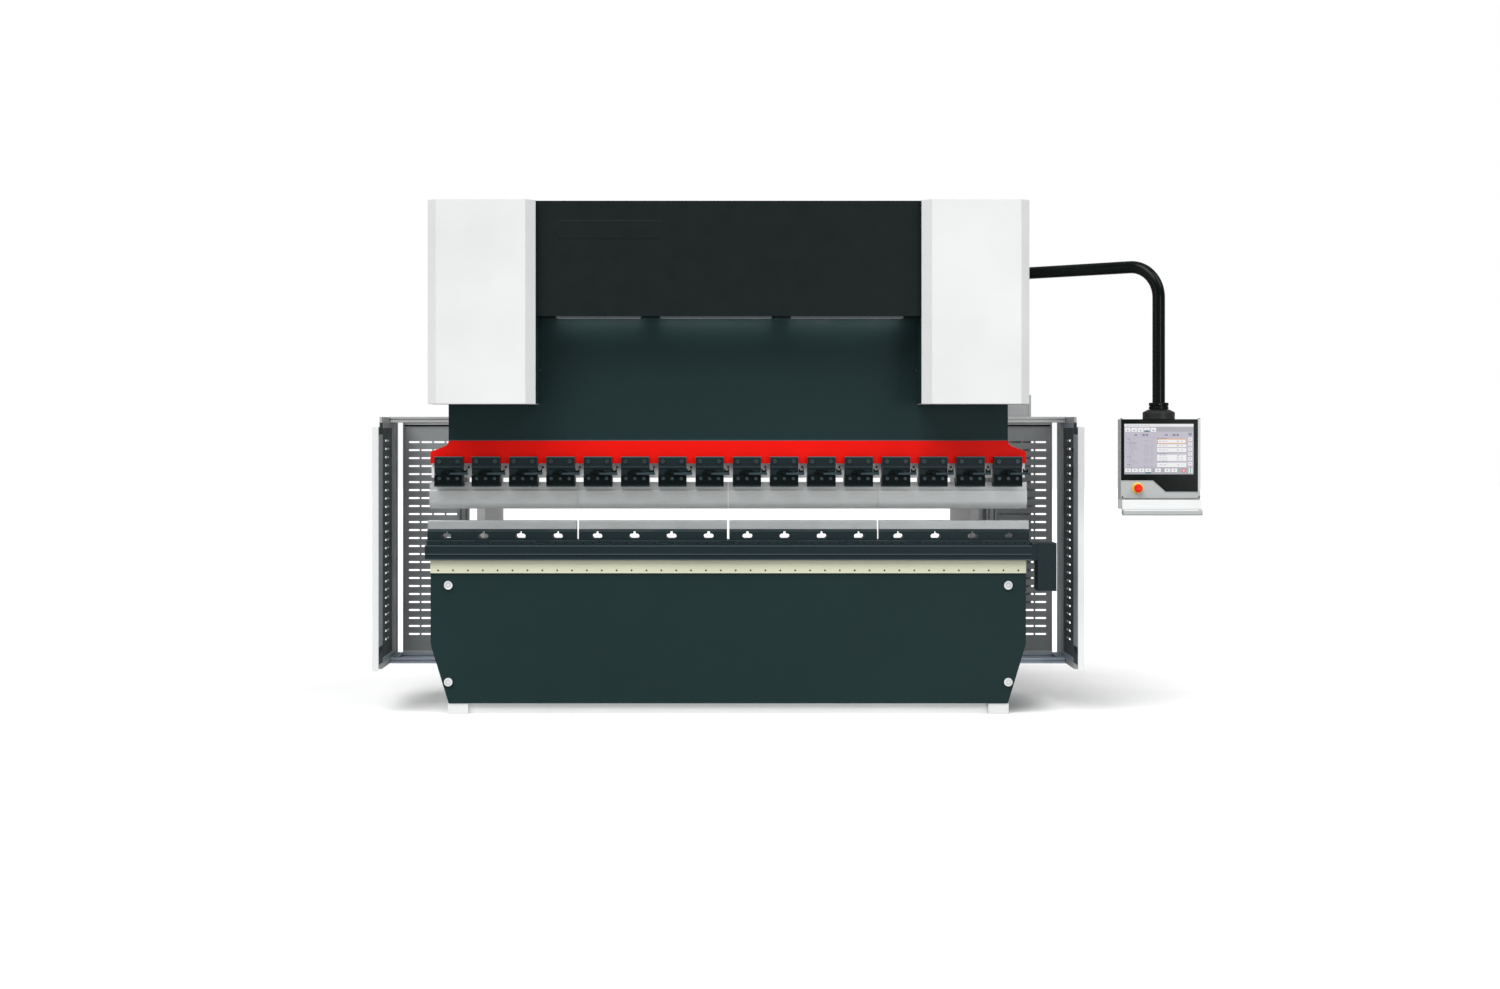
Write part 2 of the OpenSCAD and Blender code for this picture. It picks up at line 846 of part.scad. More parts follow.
module gauge_carriage() {
    color("dimgray")
        difference() {
            union() {
                block(-1250, 1250, gauge_y - 50, gauge_y + 50, rail_low_z, 770);
                both_sides() {
                    block(1250, rail_x - run_gap, gauge_y - 80, gauge_y + 80, rail_low_z - 10, rail_top_z + run_gap);
                    block(1250, frame_in - 5, gauge_y - 80, gauge_y + 80,
                          rail_top_z + run_gap, rail_top_z + 25);
                }
            }
            for (x = [-gauge_rod_x, gauge_rod_x])
                bar_z(15.4, rail_low_z - 1, 771, x, gauge_y);
        }
}

module gauge_beam() {
    color("silver") {
        block(-1200, 1200, gauge_y - 30, gauge_y + 30, gauge_beam_z, gauge_beam_z + 60);
        for (x = [-gauge_rod_x, gauge_rod_x])
            bar_z(15, 520, gauge_beam_z, x, gauge_y);
    }
}

// Stop finger that straddles the gauge beam
module gauge_finger(x) {
    z = gauge_beam_z + 60 + run_gap;
    color("gray")
        translate([x, gauge_y, 0]) {
            for (side = [-1, 1])
                translate([0, side * (40 + run_gap), 0])
                    block(-40, 40, -10, 10, gauge_beam_z + 10, z);
            block(-40, 40, -50 - run_gap, 50 + run_gap, z, z + 28);
            block(-15, 15, -155, -50 - run_gap, z + 8, z + 34);
        }
}

module gauge_finger_left() {
    gauge_finger(-finger_x);
}

module gauge_finger_right() {
    gauge_finger(finger_x);
}

side_frames();
tie_beams();
lower_beam();
rail_strip();
crowning_table();
die_holders();
dies();
base_plinth();
feet();
beam_caps();
crowning_drive();
left_cover();
right_cover();
centre_cover();
work_lights();
cylinders();
oil_tank();
pump_motor();
motor_fan();
electrical_cabinet();
cabinet_door();
guard_frames();
guard_panels();
ram_guides();
gauge_rails();
arm_bracket();
ram_beam();
ram_nose();
clamp_blocks();
clamp_plates();
clamp_screws();
punches();
piston_rods();
left_door();
right_door();
swing_arm();
pendant_case();
screen();
pendant_tray();
estop_button();
gauge_carriage();
gauge_beam();
gauge_finger_left();
gauge_finger_right();
for (i = [1:clamp_count])
    clamp_lever(i);
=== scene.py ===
"""Looks of a hydraulic press brake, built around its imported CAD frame. All lengths are in metres."""
import json
from math import cos, pi, radians, sin, tau

import bmesh
import bpy
from mathutils import Matrix, Vector


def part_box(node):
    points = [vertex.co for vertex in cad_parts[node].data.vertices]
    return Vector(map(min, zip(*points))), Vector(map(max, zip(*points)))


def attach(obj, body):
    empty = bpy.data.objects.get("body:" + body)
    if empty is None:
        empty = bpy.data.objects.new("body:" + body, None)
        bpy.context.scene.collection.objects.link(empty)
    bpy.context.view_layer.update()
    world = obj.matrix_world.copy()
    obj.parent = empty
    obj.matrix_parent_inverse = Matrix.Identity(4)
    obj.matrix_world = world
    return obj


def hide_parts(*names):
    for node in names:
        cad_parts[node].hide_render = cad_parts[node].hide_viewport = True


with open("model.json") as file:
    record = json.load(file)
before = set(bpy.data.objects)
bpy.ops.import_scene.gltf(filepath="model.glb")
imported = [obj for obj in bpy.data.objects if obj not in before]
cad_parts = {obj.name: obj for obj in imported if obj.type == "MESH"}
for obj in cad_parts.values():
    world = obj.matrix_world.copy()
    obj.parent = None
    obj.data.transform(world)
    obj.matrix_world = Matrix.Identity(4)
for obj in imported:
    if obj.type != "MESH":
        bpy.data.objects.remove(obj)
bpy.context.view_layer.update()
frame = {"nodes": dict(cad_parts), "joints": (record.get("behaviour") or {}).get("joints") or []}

SIDES = {"left": -1, "right": 1}
CLAMPS = sorted(name for name in frame["nodes"] if name.startswith("clamp_lever_"))


# ---------- Materials ----------

DUST_COLOUR = (0.62, 0.6, 0.56)
ORANGE_PEEL, MOULD_GRAIN = 700, 1500  # features per metre


class Finish:
    """A Principled material under construction, textured by the piece's own coordinates in metres."""

    def __init__(self, name, gloss=0.5, metal=0.0, roughness=0.5):
        """Gloss is the specular level, metal the metallic share."""
        self.material = bpy.data.materials.new(name)
        self.material.use_nodes = True
        self.tree = self.material.node_tree
        self.shader = self.tree.nodes["Principled BSDF"]
        self.shader.inputs["Specular IOR Level"].default_value = gloss
        self.shader.inputs["Metallic"].default_value = metal
        self.shader.inputs["Roughness"].default_value = roughness
        self.place = self.node("TexCoord").outputs["Object"]

    def link(self, output, socket):
        self.tree.links.new(output, socket)

    def node(self, kind, *feeds, **values):
        """New shader node: outputs linked to its first sockets, values set on the sockets of that name."""
        made = self.tree.nodes.new("ShaderNode" + kind)
        for output, socket in zip(feeds, made.inputs):
            self.link(output, socket)
        for name, value in values.items():
            made.inputs[name].default_value = value
        return made

    def noise(self, scale, detail=2.0, stretch=(1, 1, 1)):
        """Noise between 0 and 1; scale is the number of features per metre."""
        spread = self.node("Mapping", self.place, Scale=stretch)
        texture = self.node("TexNoise", spread.outputs[0], Scale=scale, Detail=detail)
        return texture.outputs["Fac"]

    def span(self, value, low, high, new_low=0.0, new_high=1.0):
        """Maps the range low to high of a value onto a new range, clamped."""
        node = self.node("MapRange", value)
        for socket, number in zip(node.inputs[1:5], (low, high, new_low, new_high)):
            socket.default_value = number
        return node.outputs[0]

    def drift(self, scale, detail, low=0.0, high=1.0):
        """Noise with its usual range, 0.3 to 0.7, spread over low to high."""
        return self.span(self.noise(scale, detail), 0.3, 0.7, low, high)

    def times(self, first, second):
        node = self.node("Math", first, second)
        node.operation = "MULTIPLY"
        return node.outputs[0]

    def mix(self, share, first, second):
        """Colour between first and second, each a colour or an output."""
        node = self.node("Mix", share)
        node.data_type = "RGBA"
        for socket, colour in ((node.inputs[6], first), (node.inputs[7], second)):
            if isinstance(colour, tuple):
                socket.default_value = (*colour, 1)
            else:
                self.link(colour, socket)
        return node.outputs[2]

    def edges(self, radius):
        """Mask that is 1 on sharp edges and 0 on flat faces."""
        rounded = self.node("Bevel", Radius=radius)
        rounded.samples = 4
        turn = self.node("VectorMath", rounded.outputs[0], self.node("NewGeometry").outputs["Normal"])
        turn.operation = "DOT_PRODUCT"
        return self.span(turn.outputs["Value"], 0.97, 0.8)

    def facing_up(self):
        """Mask of the faces that look up, where dust settles."""
        split = self.node("SeparateXYZ", self.node("NewGeometry").outputs["Normal"])
        return self.span(split.outputs["Z"], 0.5, 1.0)

    def bump(self, height, depth):
        node = self.node("Bump", Distance=depth)
        self.link(height, node.inputs["Height"])
        self.link(node.outputs[0], self.shader.inputs["Normal"])

    def colour(self, output):
        self.link(output, self.shader.inputs["Base Color"])

    def roughness(self, output):
        self.link(output, self.shader.inputs["Roughness"])


def shade(colour, factor):
    return tuple(min(1.0, part * factor) for part in colour)


def painted(name, colour, roughness=0.45, depth=0.00006, edge=None, dust=0.12, gloss=0.5):
    """Paint: slow tone drift, specks, orange peel, uneven sheen, dust on top and, if asked, lighter edges
    that are part wear and part painted highlight.
    """
    made = Finish(name, gloss)
    tone = made.mix(made.drift(1.7, 3), shade(colour, 0.95), shade(colour, 1.04))
    speck = made.span(made.noise(160, 4), 0.62, 0.75, 0.0, 0.35)
    tone = made.mix(speck, tone, shade(colour, 0.88))
    settled = made.times(made.facing_up(), made.span(made.noise(9, 5), 0.35, 0.75, 0.0, dust))
    tone = made.mix(settled, tone, DUST_COLOUR)
    if edge:
        # Lighter edges: part wear, part painted highlight of the light the edges catch.
        edge_wear_and_highlight = made.times(made.edges(0.003), made.span(made.noise(23, 4), 0.3, 0.6, 0.35, 0.95))
        tone = made.mix(edge_wear_and_highlight, tone, edge)
    made.colour(tone)
    made.roughness(made.drift(12, 4, roughness - 0.05, roughness + 0.08))
    made.bump(made.noise(ORANGE_PEEL, 2), depth)
    return made.material


def machined(name, colour, roughness=0.34, grain=(1, 60, 60), edge=None, stain=0.25, metal=1.0):
    """Ground or drawn metal: long fine scratches across the grain axes, patchy oil film and bright edges
    painted on as a highlight.
    """
    made = Finish(name, metal=metal)
    lines = made.noise(14, 6, grain)
    patches = made.span(made.noise(6, 5), 0.4, 0.75, 0.0, stain)
    tone = made.mix(made.span(lines, 0.3, 0.7), shade(colour, 0.86), shade(colour, 1.08))
    tone = made.mix(patches, tone, shade(colour, 0.62))
    if edge:
        # Bright edges: painted highlight.
        tone = made.mix(made.edges(0.002), tone, edge)
    made.colour(tone)
    made.roughness(made.span(lines, 0.25, 0.75, roughness - 0.08, roughness + 0.1))
    made.bump(lines, 0.00004)
    return made.material


def moulded(name, colour, roughness=0.5, gloss=0.5):
    """Moulded plastic with a fine spark-eroded grain and a faint tone drift."""
    made = Finish(name, gloss)
    made.colour(made.mix(made.drift(30, 3), shade(colour, 0.88), shade(colour, 1.1)))
    made.roughness(made.drift(60, 4, roughness - 0.06, roughness + 0.08))
    made.bump(made.noise(MOULD_GRAIN, 3), 0.00008)
    return made.material


def glowing(name, colour, strength, cell, base=0.9):
    """A lit surface with a faint cell pattern: a diffuser or a display."""
    made = Finish(name, gloss=0.2, roughness=0.3)
    cells = made.span(made.noise(cell, 1), 0.35, 0.65, 0.94, 1.0)
    tint = made.mix(cells, shade(colour, 0.9), colour)
    made.colour(made.mix(cells, shade(colour, base * 0.9), shade(colour, base)))
    made.link(tint, made.shader.inputs["Emission Color"])
    made.shader.inputs["Emission Strength"].default_value = strength
    return made.material


# Where an edge colour is given, the edges are lighter: part wear, part painted highlight.
WHITE = painted("white_coat", (0.72, 0.73, 0.73), 0.38, depth=0.00004, dust=0.06)
# Painted light: the plinth's white is brighter than the feet's to lift the shade under the lower beam.
PLINTH_WHITE_PAINTED_LIGHT = painted("white_coat_with_painted_light", (0.93, 0.94, 0.94), 0.4, dust=0.03)
CREAM = painted("cream_coat", (0.66, 0.67, 0.5), 0.4)
LIGHT_GREY = painted("light_grey_coat", (0.52, 0.535, 0.54), 0.45)
FRAME_GREY = painted("frame_grey_coat", (0.74, 0.755, 0.755), 0.5)
PANEL_GREY = painted("panel_grey_coat", (0.33, 0.35, 0.355), 0.5, gloss=0.3)
# Dark grey; on the door sheets it is also painted shade, darker than the rear panels' grey.
DARK_GREY_AND_DOOR_SHADE = painted("dark_grey_and_door_shade_coat", (0.052, 0.066, 0.07), 0.5, gloss=0.2)
SLATE = painted("slate_coat", (0.0105, 0.0265, 0.0275), 0.45, edge=(0.05, 0.12, 0.125), dust=0.05,
                gloss=0.14)
BLACK = painted("black_coat", (0.0065, 0.0115, 0.0112), 0.42, edge=(0.03, 0.045, 0.045), dust=0.05,
                gloss=0.14)
RED = painted("red_coat", (0.78, 0.0045, 0.0012), 0.42, edge=(0.85, 0.05, 0.03), dust=0.04, gloss=0.12)
GLOSS = painted("gloss_black_coat", (0.0015, 0.0035, 0.0028), 0.2, depth=0.00002, dust=0.02, gloss=0.12)
SILVER = painted("silver_coat", (0.4, 0.415, 0.415), 0.42)
DARK_STEEL = painted("dark_phosphated", (0.0085, 0.0185, 0.022), 0.4, edge=(0.07, 0.11, 0.125),
                     dust=0.06, gloss=0.2)
BLUED = painted("blued_steel", (0.006, 0.0135, 0.0165), 0.36, edge=(0.03, 0.105, 0.125), dust=0.05,
                gloss=0.22)
NEAR_BLACK = painted("oiled_black_steel", (0.0012, 0.004, 0.004), 0.42, edge=(0.01, 0.03, 0.03),
                     dust=0.04, gloss=0.1)
# Painted highlight: thin teal strips along edges that would catch the light.
TEAL_EDGE_HIGHLIGHT = painted("teal_painted_edge_highlight", (0.018, 0.1, 0.11), 0.4, gloss=0.2)
# Painted highlight: light strips along the step edges of the table.
LEDGE_HIGHLIGHT = painted("painted_ledge_highlight", (0.065, 0.1, 0.115), 0.4, gloss=0.2)
LEVER_STEEL = painted("lever_steel", (0.03, 0.05, 0.06), 0.36, edge=(0.06, 0.1, 0.12), dust=0.05,
                      gloss=0.25)
TOOL = machined("tool_steel", (0.64, 0.66, 0.66), 0.5, edge=(0.9, 0.9, 0.89))
DIE_STEEL = machined("die_steel", (0.51, 0.53, 0.53), 0.5, edge=(0.8, 0.8, 0.79))
# Painted reflection: bare steel drawn as near-white non-metal paint, so the nose strip shows bright in the
# clamps' shade.
STRIP_PAINTED_REFLECTION = painted("steel_strip_painted_reflection", (0.97, 0.98, 0.98), 0.4, gloss=0.4)
GROUND = machined("ground_steel", (0.56, 0.56, 0.555), 0.3)
SCREW = machined("blackened_screw", (0.055, 0.08, 0.092), 0.4, (20, 20, 20), edge=(0.2, 0.24, 0.26))
CHROME = machined("hard_chrome", (0.72, 0.73, 0.75), 0.1, (40, 40, 2), stain=0.05)
ALU = machined("anodised_profile", (0.36, 0.42, 0.5), 0.42, (30, 30, 1), stain=0.1, metal=0.5)
ALU_X = machined("anodised_profile_level", (0.4, 0.46, 0.54), 0.42, (1, 30, 30), stain=0.1, metal=0.5)
POST_GREY = machined("grey_profile", (0.3, 0.315, 0.32), 0.42, (30, 30, 1), stain=0.1, metal=0.5)
ALU_GREY = machined("bright_profile_level", (0.6, 0.61, 0.615), 0.42, (1, 30, 30), stain=0.1, metal=0.5)
GRIP_GREY = painted("grip_coat", (0.28, 0.32, 0.33), 0.4, gloss=0.3)
LAMP_GREY = painted("lamp_channel_coat", (0.09, 0.105, 0.11), 0.4, gloss=0.3)
BRASS = machined("brass_fitting", (0.72, 0.5, 0.22), 0.3, (20, 20, 20))
PIPE = machined("zinc_pipe", (0.62, 0.62, 0.6), 0.35, (30, 30, 30))
PLASTIC = moulded("black_plastic", (0.01, 0.012, 0.012), 0.45, gloss=0.3)
RED_PLASTIC = moulded("red_plastic", (0.8, 0.005, 0.003), 0.3, gloss=0.3)
YELLOW = moulded("yellow_plastic", (0.8, 0.62, 0.02), 0.4)
GREEN_PLASTIC = moulded("green_plastic", (0.05, 0.3, 0.12), 0.45)
GLASS = painted("black_glass", (0.0015, 0.0035, 0.003), 0.16, depth=0.000005, dust=0.02, gloss=0.08)
DIFFUSER = glowing("opal_diffuser", (0.92, 0.97, 1.0), 0.55, 300)


# ---------- Mesh toolkit ----------

UP = (0, 0, 1)
TO_FRONT = (0, -1, 0)


class Piece:
    """One visible object made of closed shells, each shell with its own material."""

    def __init__(self, name):
        self.name = name
        self.mesh = bmesh.new()
        self.materials = []

    def keep(self, faces, material):
        """Gives new faces their material and smooth shading."""
        if material not in self.materials:
            self.materials.append(material)
        for face in faces:
            face.material_index = self.materials.index(material)
            face.smooth = True

    def prism(self, outline, axis, low, high, material):
        """Extrudes an outline along an axis. Its points give the other two coordinates in x, y, z order."""
        rings = []
        for level in (low, high):
            places = [list(point) for point in outline]
            for place in places:
                place.insert("xyz".index(axis), level)
            rings.append([self.mesh.verts.new(place) for place in places])
        self.skin(rings, material)

    def box(self, low, high, material):
        (x0, y0, z0), (x1, y1, z1) = low, high
        self.prism([(x0, y0), (x1, y0), (x1, y1), (x0, y1)], "z", z0, z1, material)

    def side_box(self, side, low, high, material):
        """A box given for the right-hand side, mirrored in x when side is -1."""
        x0, x1 = mirrored(side, low[0], high[0])
        self.box((x0, *low[1:]), (x1, *high[1:]), material)

    def ring(self, centre, across, other, radius, sides):
        """Points of a circle spanned by two directions."""
        return [self.mesh.verts.new(centre + (across * cos(a) + other * sin(a)) * radius)
                for a in (tau * k / sides for k in range(sides))]

    def skin(self, rings, material):
        """Joins rings of the same number of points and closes both ends."""
        faces = [self.mesh.faces.new(rings[0]), self.mesh.faces.new(rings[-1])]
        count = len(rings[0])
        for near, far in zip(rings, rings[1:]):
            for i in range(count):
                j = (i + 1) % count
                faces.append(self.mesh.faces.new((near[i], near[j], far[j], far[i])))
        self.keep(faces, material)

    def lathe(self, start, direction, profile, material, sides=32):
        """Turns a profile of (distance along the axis, radius) pairs into a closed round body."""
        axis = Vector(direction).normalized()
        across = axis.orthogonal().normalized()
        other = axis.cross(across)
        rings = [self.ring(Vector(start) + axis * distance, across, other, radius, sides)
                 for distance, radius in profile]
        self.skin(rings, material)

    def rod(self, start, end, radius, material, sides=24):
        along = Vector(end) - Vector(start)
        self.lathe(start, along, [(0, radius), (along.length, radius)], material, sides)

    def tube(self, points, radius, material, sides=16):
        """Sweeps a round section along a path without twisting it."""
        path = [Vector(point) for point in points]
        heading = (path[1] - path[0]).normalized()
        across = heading.orthogonal().normalized()
        rings = []
        for i, point in enumerate(path):
            ahead = path[min(i + 1, len(path) - 1)] - path[max(i - 1, 0)]
            new_heading = ahead.normalized()
            across = heading.rotation_difference(new_heading) @ across
            heading = new_heading
            rings.append(self.ring(point, across, heading.cross(across), radius, sides))
        self.skin(rings, material)

    def slotted(self, width, height, slots, thickness, place, material):
        """Adds a flat sheet with oblong slots (x, y, width, height), moved into place by a matrix."""
        rim = 0.0005
        curve = bpy.data.curves.new(self.name, "CURVE")
        curve.dimensions = "2D"
        curve.fill_mode = "BOTH"
        curve.extrude = thickness / 2 - rim
        curve.bevel_depth = rim
        outlines = [[(0, 0), (width, 0), (width, height), (0, height)]] + [oblong(*slot) for slot in slots]
        for outline in outlines:
            spline = curve.splines.new("POLY")
            spline.points.add(len(outline) - 1)
            spline.use_cyclic_u = True
            for target, point in zip(spline.points, outline):
                target.co = (*point, 0, 1)
        holder = bpy.data.objects.new(self.name + "_outline", curve)
        flat = bpy.data.meshes.new_from_object(holder)
        flat.transform(place)
        before = set(self.mesh.faces)
        self.mesh.from_mesh(flat)
        self.keep([face for face in self.mesh.faces if face not in before], material)
        bpy.data.objects.remove(holder)
        bpy.data.curves.remove(curve)
        bpy.data.meshes.remove(flat)

    def done(self, body, slot, bevel, replaces=()):
        """Makes the object, rounds its edges and lets it ride on a body."""
        bmesh.ops.recalc_face_normals(self.mesh, faces=self.mesh.faces)
        data = bpy.data.meshes.new(self.name)
        self.mesh.to_mesh(data)
        self.mesh.free()
        for material in self.materials:
            data.materials.append(material)
        data.set_sharp_from_angle(angle=radians(32))
        made = add_object(self.name, data)
        if bevel:
            round_edges(made, bevel)
        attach(made, body)
        if replaces:
            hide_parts(*replaces)


def add_object(name, data):
    """New object of a mesh, a light or a camera, linked to the scene."""
    made = bpy.data.objects.new(name, data)
    bpy.context.scene.collection.objects.link(made)
    return made


def oblong(x, y, width, height):
    """Outline of a slot with round ends, lower left corner at x, y."""
    radius = height / 2
    turns = [pi / 8 * k for k in range(9)]
    right = [(x + width - radius + radius * sin(a), y + radius - radius * cos(a)) for a in turns]
    left = [(x + radius - radius * sin(a), y + radius + radius * cos(a)) for a in turns]
    return right + left


def slot_grid(x, top, columns):
    """Columns of 25 slots from the top down, each slot as (x, y, width, height)."""
    width, height, step_x, step_y = 0.064, 0.012, 0.071, 0.0455
    return [(x + step_x * column, top - step_y * row, width, height)
            for column in range(columns) for row in range(25)]


def round_edges(piece, width):
    """Narrow bevel with flat faces kept flat."""
    edge = piece.modifiers.new("edge", "BEVEL")
    edge.width = width
    edge.segments = 2
    edge.limit_method = "ANGLE"
    edge.angle_limit = radians(38)
    edge.harden_normals = True


def plain_normals():
    """Node group that drops imported normals and makes all faces smooth, for the bevel that follows."""
    group = bpy.data.node_groups.new("plain_normals", "GeometryNodeTree")
    group.interface.new_socket("Mesh", in_out="INPUT", socket_type="NodeSocketGeometry")
    group.interface.new_socket("Mesh", in_out="OUTPUT", socket_type="NodeSocketGeometry")
    start = group.nodes.new("NodeGroupInput")
    clear = group.nodes.new("GeometryNodeSetMeshNormal")
    clear.inputs["Remove Custom"].default_value = True
    smooth = group.nodes.new("GeometryNodeSetShadeSmooth")
    end = group.nodes.new("NodeGroupOutput")
    group.links.new(start.outputs[0], clear.inputs[0])
    group.links.new(clear.outputs[0], smooth.inputs[0])
    group.links.new(smooth.outputs[0], end.inputs[0])
    return group


PLAIN = plain_normals()


def dress(node, material, bevel):
    """Gives a CAD node its finish and softly rounded edges."""
    piece = frame["nodes"][node]
    for held in piece.material_slots:
        held.material = material
    weld = piece.modifiers.new("weld", "WELD")
    weld.merge_threshold = 1e-5
    merge = piece.modifiers.new("merge_flat", "DECIMATE")
    merge.decimate_type = "DISSOLVE"
    merge.angle_limit = radians(0.5)
    piece.modifiers.new("plain", "NODES").node_group = PLAIN
    round_edges(piece, bevel)
    settle = piece.modifiers.new("settle", "WEIGHTED_NORMAL")
    settle.keep_sharp = True


def joint_at(name):
    """Place of a joint's axis at rest."""
    return Vector(next(joint["pos_m"] for joint in frame["joints"] if joint["name"] == name))


def middle(node):
    """Centre of a CAD node's box."""
    low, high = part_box(node)
    return (low + high) / 2


def on_circle(x, y, radius, count, start=0.0):
    """Points evenly round a level circle, the first one a share of a step from +X."""
    turns = (tau * (k + start) / count for k in range(count))
    return [(x + radius * cos(a), y + radius * sin(a)) for a in turns]


def mirrored(side, x0, x1):
    """X range on the given side, low value first."""
    return sorted((side * x0, side * x1))


def rounded_path(points, bend, steps=6):
    """Path through corner points with every corner replaced by an arc-like curve of that reach."""
    corners = [Vector(point) for point in points]
    path = [corners[0]]
    for before, here, after in zip(corners, corners[1:], corners[2:]):
        enter = here + (before - here).normalized() * bend
        leave = here + (after - here).normalized() * bend
        for k in range(steps + 1):
            t = k / steps
            path.append(enter * (1 - t) ** 2 + here * 2 * t * (1 - t) + leave * t ** 2)
    path.append(corners[-1])
    return path


def section(width, depth):
    """Outline of an aluminium extrusion centred on 0, 0, with T grooves about 30 mm apart on each side."""
    groove, undercut, deep, lip, pitch = 0.008, 0.014, 0.01, 0.003, 0.032
    outline = []
    for quarter in range(4):
        along, out = (width, depth / 2) if quarter % 2 == 0 else (depth, width / 2)
        count = max(1, round(along / pitch))
        side = [(-along / 2, -out)]
        for k in range(count):
            centre = -along / 2 + along * (k + 0.5) / count
            for x, z in ((-groove, 0), (-groove, lip), (-undercut, lip), (-undercut / 2, deep),
                         (undercut / 2, deep), (undercut, lip), (groove, lip), (groove, 0)):
                side.append((centre + x / 2, z - out))
        turn = pi / 2 * quarter
        outline += [(x * cos(turn) - y * sin(turn), x * sin(turn) + y * cos(turn)) for x, y in side]
    return outline


def extrusion(piece, axis, centre, size, low, high, material):
    """Adds an extrusion along an axis; centre and size give the other two coordinates in x, y, z order."""
    outline = [(centre[0] + x, centre[1] + y) for x, y in section(*size)]
    piece.prism(outline, axis, low, high, material)


# ---------- CAD nodes that keep their shape ----------

def dress_cad_nodes():
    """Finish and edge rounding of every CAD node that is shown as it is."""
    finishes = {
        "side_frames": (FRAME_GREY, 0.002), "tie_beams": (FRAME_GREY, 0.002), "lower_beam": (SLATE, 0.002),
        "rail_strip": (CREAM, 0.0008), "crowning_table": (DARK_STEEL, 0.001),
        "die_holders": (DARK_STEEL, 0.001), "dies": (DIE_STEEL, 0.0005),
        "base_plinth": (PLINTH_WHITE_PAINTED_LIGHT, 0.001), "feet": (WHITE, 0.002),
        "beam_caps": (LIGHT_GREY, 0.001), "crowning_drive": (DARK_STEEL, 0.003), "left_cover": (WHITE, 0.002),
        "right_cover": (WHITE, 0.002), "centre_cover": (BLACK, 0.0015), "cylinders": (DARK_STEEL, 0.002),
        "oil_tank": (SLATE, 0.003), "pump_motor": (PANEL_GREY, 0.001), "motor_fan": (PLASTIC, 0.0005),
        "electrical_cabinet": (LIGHT_GREY, 0.0015), "cabinet_door": (LIGHT_GREY, 0.002),
        "ram_guides": (GROUND, 0.001), "gauge_rails": (GROUND, 0.001), "arm_bracket": (BLACK, 0.0015),
        "ram_beam": (SLATE, 0.002), "ram_nose": (RED, 0.002), "clamp_blocks": (BLUED, 0.0012),
        "clamp_plates": (NEAR_BLACK, 0.001), "clamp_screws": (SCREW, 0.0005), "punches": (TOOL, 0.0004),
        "piston_rods": (CHROME, 0.001), "gauge_carriage": (DARK_STEEL, 0.002), "gauge_beam": (ALU_X, 0.001),
        "gauge_finger_left": (GROUND, 0.001), "gauge_finger_right": (GROUND, 0.001),
    }
    for node, (material, bevel) in finishes.items():
        dress(node, material, bevel)


# ---------- Side guards ----------

PANEL_WIDTH = 0.316
DOOR_RAIL = 0.032  # height of the rails at the top and bottom of a door
SHEET_INSET = 0.0022  # from the inner face of a door to its sheet
GRIP_BACK = 0.078  # y of the rear edge of the grip, where the sheet begins
HINGES = (0.5, 1.3)  # heights at which the two halves of a hinge meet
HINGE_TAB = 0.016  # from the pin towards the middle of the machine


def guard_frame(name, side):
    """Floor-level and top rings of grooved profile, the wide inner post and the hinge post."""
    low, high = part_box("guard_frames")
    panel_low, panel_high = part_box("guard_panels")
    size = panel_low.z - low.z
    half = size / 2
    inner, outer, post = 1.406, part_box("right_door")[0].x - 0.002, panel_high.x - PANEL_WIDTH
    front, rear, cap = low.y + half, high.y - half, 0.015
    piece = Piece(name)
    for z, finish in ((low.z + half, ALU_X), (high.z - half, ALU_GREY)):
        for y in (front, rear):
            extrusion(piece, "x", (y, z), (size, size), *mirrored(side, inner, outer), finish)
        for x in (post - 0.044, outer - half):
            extrusion(piece, "y", (side * x, z), (size, size), low.y + size, rear - half, finish)
        for y in (front, rear):
            piece.side_box(side, (outer, y - cap, z - cap), (outer + 0.002, y + cap, z + cap), PLASTIC)
    place, bottom, top = (side * (post - 0.03), rear), low.z + size, high.z - size
    extrusion(piece, "z", place, (0.06, size), bottom, top, POST_GREY)
    piece.side_box(side, (outer, high.y - 0.03, low.z), high, LIGHT_GREY)
    return piece


def guard_frames():
    """Both guard frames with their half of the door hinges: knuckles, pins and tabs."""
    pin = joint_at("right_door_swing")
    for word, side in SIDES.items():
        piece = guard_frame(word + "_guard_frame", side)
        x = side * pin.x
        for z in HINGES:
            piece.lathe((x, pin.y, z - 0.03), UP, [(0, 0.007), (0.002, 0.009), (0.03, 0.009)], SCREW)
            piece.rod((x, pin.y, z), (x, pin.y, z + 0.06), 0.005, GROUND, 16)
            piece.side_box(side, (pin.x - HINGE_TAB, pin.y, z - 0.03), (pin.x, pin.y + 0.012, z), SCREW)
        piece.done("machine_frame", "anodised_profile", 0.0006, ["guard_frames"] if side > 0 else ())


